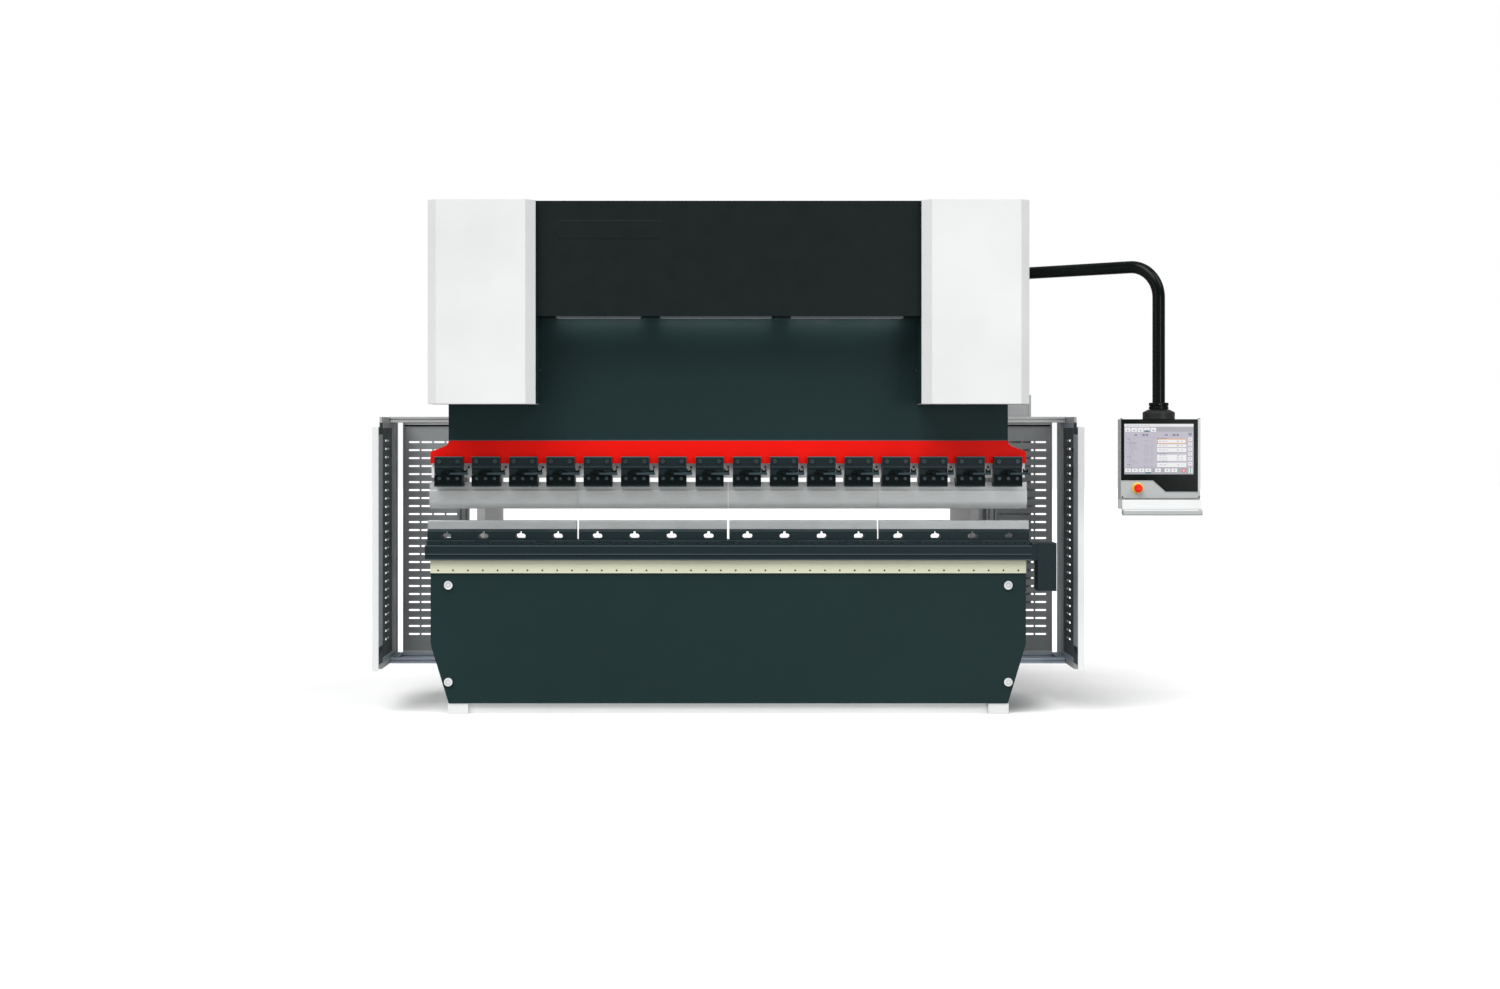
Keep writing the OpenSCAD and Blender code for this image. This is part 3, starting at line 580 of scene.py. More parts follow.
def guard_panels():
    """Slotted rear panels in a shallow folded edge."""
    low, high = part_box("guard_panels")
    fold, band, side_edge = low.y - 0.01, 0.012, 0.007
    for word, side in SIDES.items():
        slots = slot_grid(0.008, 1.453 - low.z, 4)
        if side < 0:
            slots = [(PANEL_WIDTH - x - width, z, width, height) for x, z, width, height in slots]
        x0, x1 = mirrored(side, high.x - PANEL_WIDTH, high.x)
        place = Matrix.Translation((x0, (low.y + high.y) / 2, low.z)) @ Matrix.Rotation(pi / 2, 4, "X")
        piece = Piece(word + "_guard_panel")
        piece.slotted(PANEL_WIDTH, high.z - low.z, slots, high.y - low.y, place, PANEL_GREY)
        for z in (low.z, high.z - band):
            piece.box((x0, fold, z), (x1, low.y, z + band), LIGHT_GREY)
        piece.box((x0 + 0.01, low.y - 0.004, high.z - 0.02), (x1 - 0.01, low.y, high.z - 0.0125),
                  NEAR_BLACK)
        for x in (x0, x1 - side_edge):
            piece.box((x, fold, low.z + 0.0125), (x + side_edge, low.y, high.z - 0.0125), GRIP_GREY)
        piece.done("machine_frame", "grey_paint", 0, ["guard_panels"] if side > 0 else ())


def door_frame(word, side):
    """Flat rails in front, the thick hinge stile behind them, a lining round the sheet and the knuckles; a
    near-black strip of painted shade on the rear edge of the stile.
    """
    low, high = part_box("right_door")
    pin = joint_at("right_door_swing")
    stile, rear, lining = 0.395, 0.553, ALU if side > 0 else GRIP_GREY
    thin, thick = low.x + 0.013, low.x + 0.032
    piece = Piece(word + "_door_frame")
    for z, inner in ((low.z, low.z + DOOR_RAIL), (high.z - DOOR_RAIL, high.z - 0.06)):
        piece.side_box(side, (low.x, 0.05, z), (thin, stile, z + DOOR_RAIL), SILVER)
        piece.side_box(side, (low.x, stile, z), (thick, rear, z + DOOR_RAIL), SILVER)
        piece.side_box(side, (low.x, 0.08, inner), (thin, stile, inner + 0.028), lining)
    bottom, top = low.z + DOOR_RAIL + 0.0005, high.z - DOOR_RAIL - 0.0005
    # The near-black strip at the rear of the stile is painted shade.
    for y, width, finish in ((stile, 0.04, GRIP_GREY), (0.436, 0.104, lining), (0.541, 0.012, NEAR_BLACK)):
        piece.side_box(side, (low.x, y, bottom), (thick, y + width, top), finish)
    knuckle = [(0, 0.008), (0.001, 0.009), (0.0535, 0.009), (0.0545, 0.008)]
    for z in HINGES:
        piece.lathe((side * pin.x, pin.y, z + 0.0005), UP, knuckle, SCREW)
        piece.side_box(side, (pin.x - HINGE_TAB, rear - 0.002, z + 0.0005), (pin.x, pin.y - 0.006, z + 0.055),
                       SCREW)
    piece.done(word + "_door", "white_paint", 0.001, [word + "_door"])


def door_sheet(word, side):
    """Slotted sheet in a dark grey that is partly painted shade, on the right-hand door with the two black
    blocks on its inner face.
    """
    low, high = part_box("right_door")
    bottom, height = low.z + DOOR_RAIL, high.z - low.z - 2 * DOOR_RAIL
    face = low.x + SHEET_INSET
    place = Matrix(((0, 0, 1, side * face), (1, 0, 0, GRIP_BACK), (0, 1, 0, bottom), (0, 0, 0, 1)))
    piece = Piece(word + "_door_sheet")
    piece.slotted(0.317, height, slot_grid(0.094, 1.464 - bottom, 2), 0.003, place, DARK_GREY_AND_DOOR_SHADE)
    if side > 0:
        for z0, z1 in ((1.269, 1.327), (1.407, 1.432)):
            piece.box((low.x - 0.004, 0.084, z0), (low.x + 0.0062, 0.104, z1), PLASTIC)
    piece.done(word + "_door", "white_paint", 0)


def door_grip(word, side):
    """Grip bar with rounded ends between two black brackets, and the sheets above and below it."""
    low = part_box("right_door")[0]
    front, bottom, top, corner = low.y + 0.0055, 0.358, 1.503, 0.02
    quarter = [pi / 12 * k for k in range(7)]
    upper = [(front + corner * (1 - sin(a)), top - corner * (1 - cos(a))) for a in quarter]
    lower = [(front + corner * (1 - cos(a)), bottom + corner * (1 - sin(a))) for a in quarter]
    outline = [(GRIP_BACK, bottom), (GRIP_BACK, top)] + upper + lower
    piece = Piece(word + "_door_grip")
    piece.prism(outline, "x", *mirrored(side, low.x, low.x + 0.012), GRIP_GREY)
    x0, x1 = low.x + 0.003, low.x + 0.012
    for z0, z1 in ((0.318, bottom - 0.0005), (top + 0.0005, 1.54)):
        piece.side_box(side, (x0, front + 0.01, z0), (x1, GRIP_BACK, z1), PLASTIC)
    piece.side_box(side, (x0, front + 0.002, low.z + 0.033), (x1, GRIP_BACK, 0.3175), DARK_GREY_AND_DOOR_SHADE)
    piece.side_box(side, (low.x + SHEET_INSET, 0.0, 1.5405), (low.x + 0.005, GRIP_BACK, 1.569), DARK_GREY_AND_DOOR_SHADE)
    piece.done(word + "_door", "anodised_profile", 0.003)


def door_box(word, side):
    """Closed white box in front of the door, with a row of screws down its outer side."""
    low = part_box("right_door")[0]
    lip, inner, outer, step = low.x + 0.0005, low.x + 0.0135, low.x + 0.035, low.y + 0.005
    plan = [(lip, low.y), (outer, low.y), (outer, 0.1), (inner, 0.1), (inner, step), (lip, step)]
    piece = Piece(word + "_door_box")
    piece.prism([(side * x, y) for x, y in plan], "z", low.z + 0.001, 1.545, WHITE)
    for k in range(9):
        z = 0.35 + 0.14 * k
        piece.rod((side * (outer - 0.0005), 0.08, z), (side * (outer + 0.0008), 0.08, z), 0.004, SCREW, 12)
    piece.done(word + "_door", "white_paint", 0.003)


# ---------- Swing arm and pendant ----------

CASE_TOP = 1.585  # height of the pendant housing without its flange
SLANT_TOP = 1.272  # height of the glass edge left of its slant


def swing_arm():
    """Bent gloss tube with its pivot sleeve and pin, and the turned collar with screws above the pendant."""
    pivot, turn = joint_at("arm_swing"), joint_at("pendant_turn")
    radius, bend = 0.032, 0.165
    corner = Vector((turn.x, turn.y, pivot.z))
    heading = (corner - pivot).normalized()
    centre = corner - heading * bend - Vector((0, 0, bend))
    arc = [centre + heading * bend * sin(a) + Vector((0, 0, bend * cos(a)))
           for a in (pi / 48 * k for k in range(25))]
    piece = Piece("swing_arm_tube")
    piece.tube([pivot + heading * 0.03] + arc + [Vector((turn.x, turn.y, 1.66))], radius, GLOSS, 40)
    sleeve = [(0, 0.038), (0.003, 0.042), (0.105, 0.042), (0.108, 0.038)]
    piece.lathe((pivot.x, pivot.y, 2.321), UP, sleeve, GLOSS, 40)
    piece.rod((pivot.x, pivot.y, 2.276), (pivot.x, pivot.y, 2.474), 0.015, GROUND)
    collar = [(0, 0.046), (0.002, 0.05), (0.012, 0.05), (0.014, 0.047), (0.018, 0.047), (0.02, 0.05),
              (0.033, 0.05), (0.035, 0.046)]
    piece.lathe((turn.x, turn.y, 1.635), UP, collar, GLOSS, 40)
    piece.rod((turn.x, turn.y, 1.595), (turn.x, turn.y, 1.636), 0.02, GROUND)
    for k in range(3):
        a = tau * k / 3 + 0.4
        out = Vector((cos(a), sin(a), 0))
        start = Vector((turn.x, turn.y, 1.661)) + out * 0.045
        piece.rod(start, start + out * 0.007, 0.004, SCREW, 12)
    piece.done("swing_arm", "gloss_black", 0.0008, ["swing_arm"])


def pendant_case():
    """Silver housing with chamfered corners, pads and ribs on its rear and the swivel flange on top."""
    low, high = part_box("pendant_case")
    centre = joint_at("pendant_turn")
    half, cut = (high.x - low.x) / 2, 0.008
    bottom, front, rear = centre.z - 0.446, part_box("screen")[1].y, centre.y + 0.045
    corners = ((-1, -1, cut, 0), (1, -1, cut, 0), (1, -1, 0, cut), (1, 1, 0, cut),
               (1, 1, cut, 0), (-1, 1, cut, 0), (-1, 1, 0, cut), (-1, -1, 0, cut))
    outline = [(centre.x + sx * (half - dx), (rear if sy > 0 else front) - sy * dy)
               for sx, sy, dx, dy in corners]
    piece = Piece("pendant_shell")
    piece.prism(outline, "z", bottom, CASE_TOP, SILVER)
    pad = half - 0.03
    for z in (bottom + 0.02, CASE_TOP - 0.06):
        piece.box((centre.x - pad, rear, z), (centre.x + pad, rear + 0.004, z + 0.04), PLASTIC)
    for row in range(9):
        z = bottom + 0.13 + 0.018 * row
        piece.box((centre.x - 0.11, rear, z), (centre.x + 0.11, rear + 0.003, z + 0.006), PLASTIC)
    flange = [(0, 0.0815), (0.034, 0.0815), (0.037, 0.079), (0.0495, 0.054)]
    piece.lathe((centre.x, centre.y, CASE_TOP), UP, flange, PLASTIC, 48)
    piece.done("pendant", "silver_paint", 0.0015, ["pendant_case"])


def pendant_glass():
    """Black glass front with a slanting lower edge, and a thin light rim under it as a painted highlight of
    the edge's chamfer.
    """
    low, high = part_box("screen")
    x = joint_at("pendant_turn").x
    edge = [(low.x, SLANT_TOP), (x - 0.04, SLANT_TOP), (x + 0.025, low.z), (high.x, low.z)]
    piece = Piece("pendant_glass")
    piece.prism(edge + [(high.x, high.z), (low.x, high.z)], "y", low.y, high.y, GLASS)
    # Light-grey rim: painted highlight along the chamfer under the glass.
    rim = edge + [(high.x, low.z - 0.003), (x + 0.024, low.z - 0.003), (x - 0.0412, SLANT_TOP - 0.003),
                  (low.x, SLANT_TOP - 0.003)]
    piece.prism(rim, "y", low.y + 0.001, high.y, LIGHT_GREY)
    piece.done("pendant", "screen_glass", 0.001, ["screen"])


def display_colours():
    """Lit materials of the control page."""
    tints = {"ground": (0.6, 0.57, 0.65), "header": (0.93, 0.93, 0.95), "white": (0.97, 0.97, 0.98),
             "bar": (0.47, 0.46, 0.51), "ink": (0.1, 0.14, 0.28), "faint": (0.36, 0.38, 0.48),
             "orange": (0.95, 0.45, 0.12), "active": (0.1, 0.22, 0.26), "red": (0.85, 0.1, 0.14),
             "green": (0.05, 0.4, 0.22)}
    return {name: glowing("display_" + name, tint, 0.72, 2500, 0.12) for name, tint in tints.items()}


class Display:
    """Control page on the glass, in shares of its width (u) and of its height (v, downwards)."""

    def __init__(self):
        x = joint_at("pendant_turn").x
        self.x0, self.x1, self.z0, self.z1 = x - 0.187, x + 0.167, 1.303, 1.561
        self.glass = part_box("screen")[0].y
        self.tint = display_colours()
        self.piece = Piece("pendant_display")

    def front(self, layer):
        """Y of the face of a layer, each one 0.2 mm nearer to the viewer."""
        return self.glass - 0.0004 - 0.0002 * layer

    def at(self, u, v):
        """X and z of a place on the page."""
        return self.x0 + (self.x1 - self.x0) * u, self.z1 - (self.z1 - self.z0) * v

    def patch(self, u0, v0, u1, v1, layer, name):
        """Rectangle raised by its layer."""
        (x0, z0), (x1, z1) = self.at(u0, v1), self.at(u1, v0)
        self.piece.box((x0, self.front(layer), z0), (x1, self.glass - 0.0001, z1), self.tint[name])

    def words(self, u, v, width, name, layer=2, size=0.014):
        """A line of short dashes that reads as small print."""
        step, k = 0.017, 0
        while u + step * k < u + width:
            gap = 0.004 + 0.004 * ((k * 7 + int(v * 100)) % 3)
            self.patch(u + step * k, v, min(u + step * (k + 1) - gap, u + width), v + size, layer, name)
            k += 1

    def diamond(self, u, v, reach, layer, name):
        x, z = self.at(u, v)
        outline = [(x - reach, z), (x, z - reach), (x + reach, z), (x, z + reach)]
        self.piece.prism(outline, "y", self.front(layer), self.glass - 0.0001, self.tint[name])


def display_head(page):
    """Ground, header, five tabs and two readings over a rule."""
    page.patch(0, 0, 1, 1, 0, "ground")
    page.patch(0, 0, 1, 0.055, 1, "header")
    page.patch(0.46, 0.06, 1, 0.155, 1, "bar")
    page.words(0.02, 0.02, 0.36, "faint", 2, 0.012)
    for k in range(5):
        u = 0.01 + 0.093 * k
        page.patch(u, 0.08, u + 0.078, 0.155, 1, "white")
        page.patch(u + 0.028, 0.118, u + 0.05, 0.136, 2, "ink" if k != 3 else "faint")
        if k == 3:
            page.patch(u, 0.13, u + 0.078, 0.158, 3, "active")
    for u in (0.14, 0.58):
        page.words(u, 0.205, 0.05, "ink", 2, 0.03)
        page.words(u + 0.11, 0.2, 0.1, "ink", 2, 0.04)
    page.patch(0.025, 0.265, 0.455, 0.268, 2, "faint")


def display_list(page):
    """Indented list with two columns of values."""
    indent = 0.025
    rows = ((0, 0.04), (indent, 0.05), (0, 0.14), (indent, 0.09), (indent, 0.12), (indent, 0.13),
            (indent, 0.06), (indent, 0.05), (indent, 0.08), (0, 0.05), (indent, 0.05), (indent, 0.1),
            (indent, 0.13), (0, 0.06), (indent, 0.05))
    for k, (shift, width) in enumerate(rows):
        v = 0.295 + 0.039 * k
        page.words(0.045 + shift, v, width, "faint" if shift else "ink")
        if shift:
            page.words(0.29, v, 0.07 if k % 3 else 0.05, "faint")
            page.words(0.385, v, 0.03, "faint")


def display_boxes(page):
    """White boxes with rows of values, the first one framed in orange, and their titles."""
    for v0, v1, rows in ((0.305, 0.385, 1), (0.405, 0.46, 1), (0.48, 0.555, 1), (0.61, 0.735, 3),
                         (0.77, 0.855, 1)):
        page.patch(0.475, v0, 0.895, v1, 1, "white")
        for k in range(rows):
            v = v0 + (v1 - v0) * (k + 0.5) / rows - 0.007
            page.words(0.505, v, 0.12, "faint")
            page.words(0.76, v, 0.035, "ink")
            page.words(0.82, v, 0.025, "faint")
    for u0, v0, u1, v1 in ((0.475, 0.3, 0.895, 0.312), (0.475, 0.378, 0.895, 0.39),
                           (0.475, 0.3, 0.485, 0.39), (0.885, 0.3, 0.895, 0.39)):
        page.patch(u0, v0, u1, v1, 3, "orange")
    for v in (0.278, 0.585, 0.745):
        page.words(0.478, v, 0.14, "ink")


def display_buttons(page):
    """Column of icons at the right, and the button row with its green and red marks."""
    for k in range(7):
        v = 0.175 + 0.098 * k
        page.patch(0.925, v, 0.98, v + 0.06, 1, "white" if k else "faint")
        page.patch(0.94, v + 0.022, 0.965, v + 0.036, 2, "ink")
    page.patch(0, 0.865, 1, 1, 1, "bar")
    for u in (0.01, 0.108, 0.206, 0.304, 0.445, 0.58, 0.68):
        page.patch(u, 0.885, u + 0.085, 0.955, 2, "white")
        page.patch(u + 0.033, 0.91, u + 0.052, 0.928, 3, "ink")
        page.words(u + 0.01, 0.967, 0.06, "faint", 2, 0.01)
    page.patch(0.304, 0.955, 0.389, 0.985, 3, "active")
    page.patch(0.93, 0.88, 0.985, 0.975, 2, "white")
    page.patch(0.95, 0.885, 0.965, 0.97, 3, "green")
    page.diamond(0.86, 0.927, 0.0115, 3, "red")
    page.diamond(0.86, 0.927, 0.0115 / 2, 4, "white")


def pendant_display():
    """Lit control page without lettering."""
    page = Display()
    display_head(page)
    display_list(page)
    display_boxes(page)
    display_buttons(page)
    page.piece.done("pendant", "screen_glass", 0)


def pendant_trim():
    """Silver lower panel with screws, rail beside the glass, top tabs and ring round the emergency stop."""
    low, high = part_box("pendant_case")
    x = joint_at("pendant_turn").x
    glass_low, glass_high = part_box("screen")
    front, back = glass_low.y + 0.001, glass_high.y
    half, edge = (high.x - low.x) / 2, glass_low.z - 0.0035
    outline = [(x - half, 1.18), (x + half, 1.18), (x + half, edge), (x + 0.0235, edge),
               (x - 0.0415, SLANT_TOP - 0.0035), (x - half, SLANT_TOP - 0.0035)]
    piece = Piece("pendant_panel")
    piece.prism(outline, "y", front + 0.001, back, SILVER)
    for corner in (-1, 1):
        at = x + corner * (half - 0.007)
        piece.rod((at, front + 0.0015, 1.187), (at, front - 0.0015, 1.187), 0.004, PLASTIC, 16)
    piece.box((glass_high.x + 0.001, front, glass_low.z), (x + half, back, high.z - 0.0495), LIGHT_GREY)
    for corner in (-1, 1):
        at = x + corner * (half - 0.004)
        piece.box((at - 0.004, front, CASE_TOP), (at + 0.004, back + 0.02, 1.591), SILVER)
    stop = middle("estop_button")
    ring = [(0, 0.0285), (0.003, 0.0285), (0.005, 0.0265), (0.005, 0.017), (0.002, 0.0165)]
    piece.lathe((stop.x, front + 0.001, stop.z), TO_FRONT, ring, YELLOW, 40)
    piece.done("pendant", "silver_paint", 0.0012)


def stop_button():
    """Red mushroom head and its stem."""
    front, back = (corner.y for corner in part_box("estop_button"))
    centre, thickness = middle("estop_button"), 0.0182
    head = [(0, 0.013), (0.004, 0.0205), (0.01, 0.022), (0.015, 0.0205), (0.0175, 0.016), (thickness, 0.006)]
    piece = Piece("estop_head")
    piece.lathe((centre.x, front + thickness, centre.z), TO_FRONT, head, RED_PLASTIC, 40)
    piece.rod((centre.x, front + 0.014, centre.z), (centre.x, back, centre.z), 0.008, GROUND, 20)
    piece.done("estop_button", "red_plastic", 0.0008, ["estop_button"])


def pendant_tray():
    """Folded sheet tray with a grab rail on two brackets."""
    low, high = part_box("pendant_tray")
    x0, x1 = low.x, high.x
    y0, y1, z0, z1 = low.y + 0.018, high.y, 1.125, high.z
    sheet, chamfer = 0.004, 0.004
    piece = Piece("pendant_tray_sheet")
    piece.box((x0, y0, z0), (x1, y1, z0 + sheet), WHITE)
    piece.box((x0, y0, z0 + sheet), (x1, y0 + sheet, z1), WHITE)
    piece.box((x0, y1 - sheet, z0 + sheet), (x1, y1, z1), WHITE)
    for x in (x0, x1 - sheet):
        piece.box((x, y0 + sheet, z0 + sheet), (x + sheet, y1 - sheet, z1), WHITE)
    piece.box((x0, y0 - 0.001, z0 - 0.002), (x1, y0 + 0.004, z0 + 0.0005), GRIP_GREY)
    front, back, bottom, top = low.y, y0 - 0.001, low.z, 1.12
    rail = [(front, bottom + chamfer), (front + chamfer, bottom), (back, bottom), (back, top),
            (front + chamfer, top), (front, top - chamfer)]
    piece.prism(rail, "x", x0 + 0.004, x1 - 0.004, SILVER)
    for x in (x0, x1 - 0.005):
        piece.prism(rail, "x", x, x + 0.005, GRIP_GREY)
    for z in (bottom + 0.006, top - 0.0085):
        piece.box((x0 + 0.006, front - 0.0004, z), (x1 - 0.006, front + 0.001, z + 0.0025), GRIP_GREY)
    for x in (x0, x1 - 0.012):
        piece.box((x, y0 - 0.002, bottom + 0.004), (x + 0.012, y0 + 0.02, z0), SILVER)
    piece.done("pendant", "white_paint", 0.0008, ["pendant_tray"])


# ---------- Ram, tools and table ----------

# X ranges of the three work lights under the centre cover.
LAMPS = ((-0.91, -0.462), (-0.362, 0.229), (0.329, 0.923))
PIVOT_INSET = 0.009  # from the lower left corner of a lever's box to its pivot


def nose_strip():
    """Bare steel strip under the painted nose, with its row of screws; its near-white colour is a painted
    reflection.
    """
    low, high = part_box("ram_nose")
    face, top = 0.0205, low.z + 0.078
    piece = Piece("nose_strip")
    piece.box((low.x + 0.0015, -face, low.z - 0.0004), (high.x - 0.0015, face, top), STRIP_PAINTED_REFLECTION)
    for k in range(-7, 8):
        x = 0.2 * k
        piece.rod((x, -face, top - 0.022), (x, -face - 0.004, top - 0.022), 0.006, SCREW, 16)
    piece.done("ram", "ground_steel", 0.0006)


def work_lights():
    """Three lamp channels under the centre cover, each with an opal strip facing down."""
    low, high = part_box("work_lights")
    wall, roof = 0.004, high.z - 0.003
    outline = [(low.y, low.z), (low.y + wall, low.z), (low.y + wall, roof), (high.y - wall, roof),
               (high.y - wall, low.z), (high.y, low.z), (high.y, high.z), (low.y, high.z)]
    piece = Piece("work_light_channels")
    for x0, x1 in LAMPS:
        piece.prism(outline, "x", x0, x1, LAMP_GREY)
        piece.box((x0 + wall, low.y + 0.0045, low.z + 0.002), (x1 - wall, high.y - 0.0045, roof - 0.0005),
                  DIFFUSER)
        for x in (x0, x1 - wall):
            piece.box((x, low.y + 0.0041, low.z), (x + wall, high.y - 0.0041, roof - 0.0001), PLASTIC)
    piece.done("machine_frame", "lamp_diffuser", 0.0005, ["work_lights"])


def clamp_lever(node):
    """Quick release lever: socketed boss, stepped arm, ribbed end and the stop bracket above it."""
    low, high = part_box(node)
    x, z = low.x + PIVOT_INSET, low.z + PIVOT_INSET
    front, back = low.y, low.y + 0.011
    boss = [(0, 0.011), (0.01, 0.011), (0.012, 0.0095), (0.0135, 0.008), (0.0135, 0.0045), (0.009, 0.004)]
    piece = Piece(node + "_handle")
    piece.lathe((x, back + 0.003, z), TO_FRONT, boss, NEAR_BLACK, 24)
    piece.rod((x, back, z), (x, high.y, z), 0.006, GROUND, 20)
    edge = [(0.009, 0.0045), (0.06, 0.0055), (0.066, 0.0065), (0.107, 0.0065)]
    arm = [(x + a, z - b) for a, b in edge] + [(x + a, z + b) for a, b in reversed(edge)]
    piece.prism(arm, "y", front + 0.002, back, LEVER_STEEL)
    piece.box((x + 0.068, front, z - 0.0063), (x + 0.1065, front + 0.003, z + 0.0063), LEVER_STEEL)
    for k in range(5):
        at = x + 0.073 + 0.0065 * k
        piece.box((at, front - 0.0004, z - 0.005), (at + 0.003, front + 0.001, z + 0.005), BLUED)
    hook = [(0.076, 0.0065), (0.104, 0.0065), (0.104, 0.026), (0.098, 0.026), (0.098, 0.018), (0.084, 0.018),
            (0.084, 0.026), (0.076, 0.026)]
    piece.prism([(x + a, z + b) for a, b in hook], "y", front + 0.001, back, NEAR_BLACK)
    piece.done(node, "blued_steel", 0.0006, [node])


def clamp_trim():
    """On every clamp: teal strip along the top edge as a painted highlight, groove line, washers, cam arch,
    and a foot strip with index marks.
    """
    block_low, block_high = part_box("clamp_blocks")
    front, top, half = block_low.y, block_high.z, 0.0755
    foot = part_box("clamp_plates")[0]
    y, z0 = foot.y, foot.z
    arch = [(0.046 * cos(a), 0.027 * sin(a) - 0.003) for a in (pi / 12 * k for k in range(13))]
    arch_front, arch_back = -0.0892, -0.087
    piece = Piece("clamp_trim")
    for node in CLAMPS:
        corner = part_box(node)[0]
        x, z = corner.x + PIVOT_INSET, corner.z + PIVOT_INSET
        # Teal strip on the top edge: painted highlight.
        piece.box((x - half, front - 0.0008, top - 0.005), (x + half, front + 0.002, top + 0.0003), TEAL_EDGE_HIGHLIGHT)
        piece.box((x - half, front - 0.0006, top - 0.0568), (x + half, front + 0.002, top - 0.0535),
                  LEVER_STEEL)
        for at in (x - 0.05, x + 0.05):
            piece.rod((at, front + 0.001, top - 0.025), (at, front - 0.0007, top - 0.025), 0.012, NEAR_BLACK)
        piece.prism([(x + dx, z + dz) for dx, dz in arch], "y", arch_front, arch_back, NEAR_BLACK)
        piece.box((x - 0.075, y - 0.0012, z0 + 0.0005), (x + 0.075, y + 0.001, z0 + 0.007), BLUED)
        for at in (x + 0.028 * k for k in range(-2, 3)):
            piece.box((at - 0.003, y - 0.0017, z0 + 0.001), (at + 0.003, y, z0 + 0.005), NEAR_BLACK)
    piece.done("ram", "blued_steel", 0.0004)


def ram_edge():
    """Teal strip along the lower end of the ram plate as a painted edge highlight, and lips that close the
    gap beside the white covers.
    """
    low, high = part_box("ram_beam")
    reach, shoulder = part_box("right_cover")[0].x + 0.007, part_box("piston_rods")[0].z
    piece = Piece("ram_edge")
    for side in SIDES.values():
        piece.side_box(side, (reach - 0.027, low.y - 0.0085, shoulder + 0.001),
                       (reach, low.y + 0.001, high.z - 0.001), SLATE)
    # Teal strip at the foot of the ram plate: painted highlight.
    piece.box((low.x + 0.001, low.y - 0.0006, low.z + 0.0005), (high.x - 0.001, low.y + 0.002, low.z + 0.005),
              TEAL_EDGE_HIGHLIGHT)
    piece.done("ram", "slate_paint", 0.0004)


def table_trim():
    """Ledge plates with near-black discs as painted shade in their holes, pocket wedges, light strips as
    painted highlights on the step edges, and the screws of the cream strip.
    """
    low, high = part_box("crowning_table")
    pitch, ledge, seat, holes = 0.331, high.z - 0.027, low.y + 0.012, high.z - 0.014
    piece = Piece("table_trim")
    for i in range(-5, 5):
        x0, x1 = max(low.x + 0.01, i * pitch + 0.042), min(high.x - 0.01, (i + 1) * pitch - 0.042)
        piece.box((x0, seat - 0.002, ledge + 0.001), (x1, seat + 0.001, high.z - 0.001), DARK_STEEL)
        for x in ((i + 0.5) * pitch + 0.05 * k for k in range(-2, 3)):
            if x0 < x < x1:
                # Near-black discs: painted shade inside the ledge holes.
                piece.rod((x, seat, holes), (x, seat - 0.0026, holes), 0.0055, NEAR_BLACK, 16)
    wedge = [(-0.037, 0), (0.037, 0), (0.037, 0.007), (-0.037, 0.012)]
    for i in range(-4, 5):
        outline = [(i * pitch + dx, ledge + dz) for dx, dz in wedge]
        piece.prism(outline, "y", low.y + 0.003, low.y + 0.021, BLUED)
    # Light strips along the step edges: painted highlights.
    for z, y in ((ledge - 0.0036, low.y), (low.z + 0.029, low.y), (low.z + 0.0005, low.y + 0.006)):
        piece.box((low.x + 0.001, y - 0.0006, z), (high.x - 0.001, y + 0.002, z + 0.0035), LEDGE_HIGHLIGHT)
    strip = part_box("rail_strip")[0]
    row = strip.z + 0.015
    for x in (-1.56 + 0.08 * k for k in range(40)):
        piece.rod((x, strip.y + 0.006, row), (x, strip.y - 0.0003, row), 0.0049, NEAR_BLACK, 16)
    piece.done("machine_frame", "dark_steel", 0.0005)


def cap_rims():
    """White rim and turned centre on the four round caps of the lower beam."""
    low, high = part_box("beam_caps")
    radius = 0.0235
    profile = [(0, 0.0225), (0.0018, 0.0225), (0.0018, 0.0185), (0.0006, 0.018), (0.0006, 0.006),
               (0.0012, 0.0055)]
    piece = Piece("cap_rims")
    for x in (low.x + radius, high.x - radius):
        for z in (low.z + radius, high.z - radius):
            piece.lathe((x, low.y + 0.001, z), TO_FRONT, profile, WHITE, 36)
    piece.done("machine_frame", "light_paint", 0)


# ---------- Hydraulics, cabinet, back gauge and covers ----------

TANK_LID = 2.6  # height of the lid of the oil tank


def hexagon(piece, place, direction, radius, height):
    """Bolt head with a small washer."""
    seat = Vector(place) + Vector(direction) * 0.002
    piece.rod(place, seat, radius * 1.25, SCREW, 20)
    piece.rod(seat, Vector(place) + Vector(direction) * height, radius, SCREW, 6)


def hydraulic_pipes():
    """Two steel pipes from each valve block over the cylinder to the tank, with their nuts."""
    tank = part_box("oil_tank")
    port, outlet, crest = -0.115, 2.558, 2.664
    piece = Piece("hydraulic_pipes")
    for side, end in ((-1, tank[0].x + 0.008), (1, tank[1].x - 0.008)):
        for k in (0, 1):
            x, y, z = side * (cylinder_x() - 0.025 + 0.05 * k), 0.215 + 0.03 * k, 2.52 - 0.05 * k
            turn, inlet = end + side * (0.07 + 0.04 * k), 0.45 + 0.03 * k
            route = [(x, port, outlet), (x, port, crest), (x, y, crest), (x, y, z), (turn, y, z),
                     (turn, inlet, z), (end, inlet, z)]
            piece.tube(rounded_path(route, 0.03), 0.008, PIPE, 14)
            for start, heading in ((route[0], UP), (route[-1], (side, 0, 0)), ((x, y, z + 0.05), UP)):
                piece.rod(start, Vector(start) + Vector(heading) * 0.024, 0.0145, BRASS, 6)
    piece.done("machine_frame", "chrome_rod", 0.0006)


def cylinder_x():
    """Distance of the cylinder axes from the middle; the rods' box is as deep as one rod, centred on y 0."""
    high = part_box("piston_rods")[1]
    return high.x - high.y


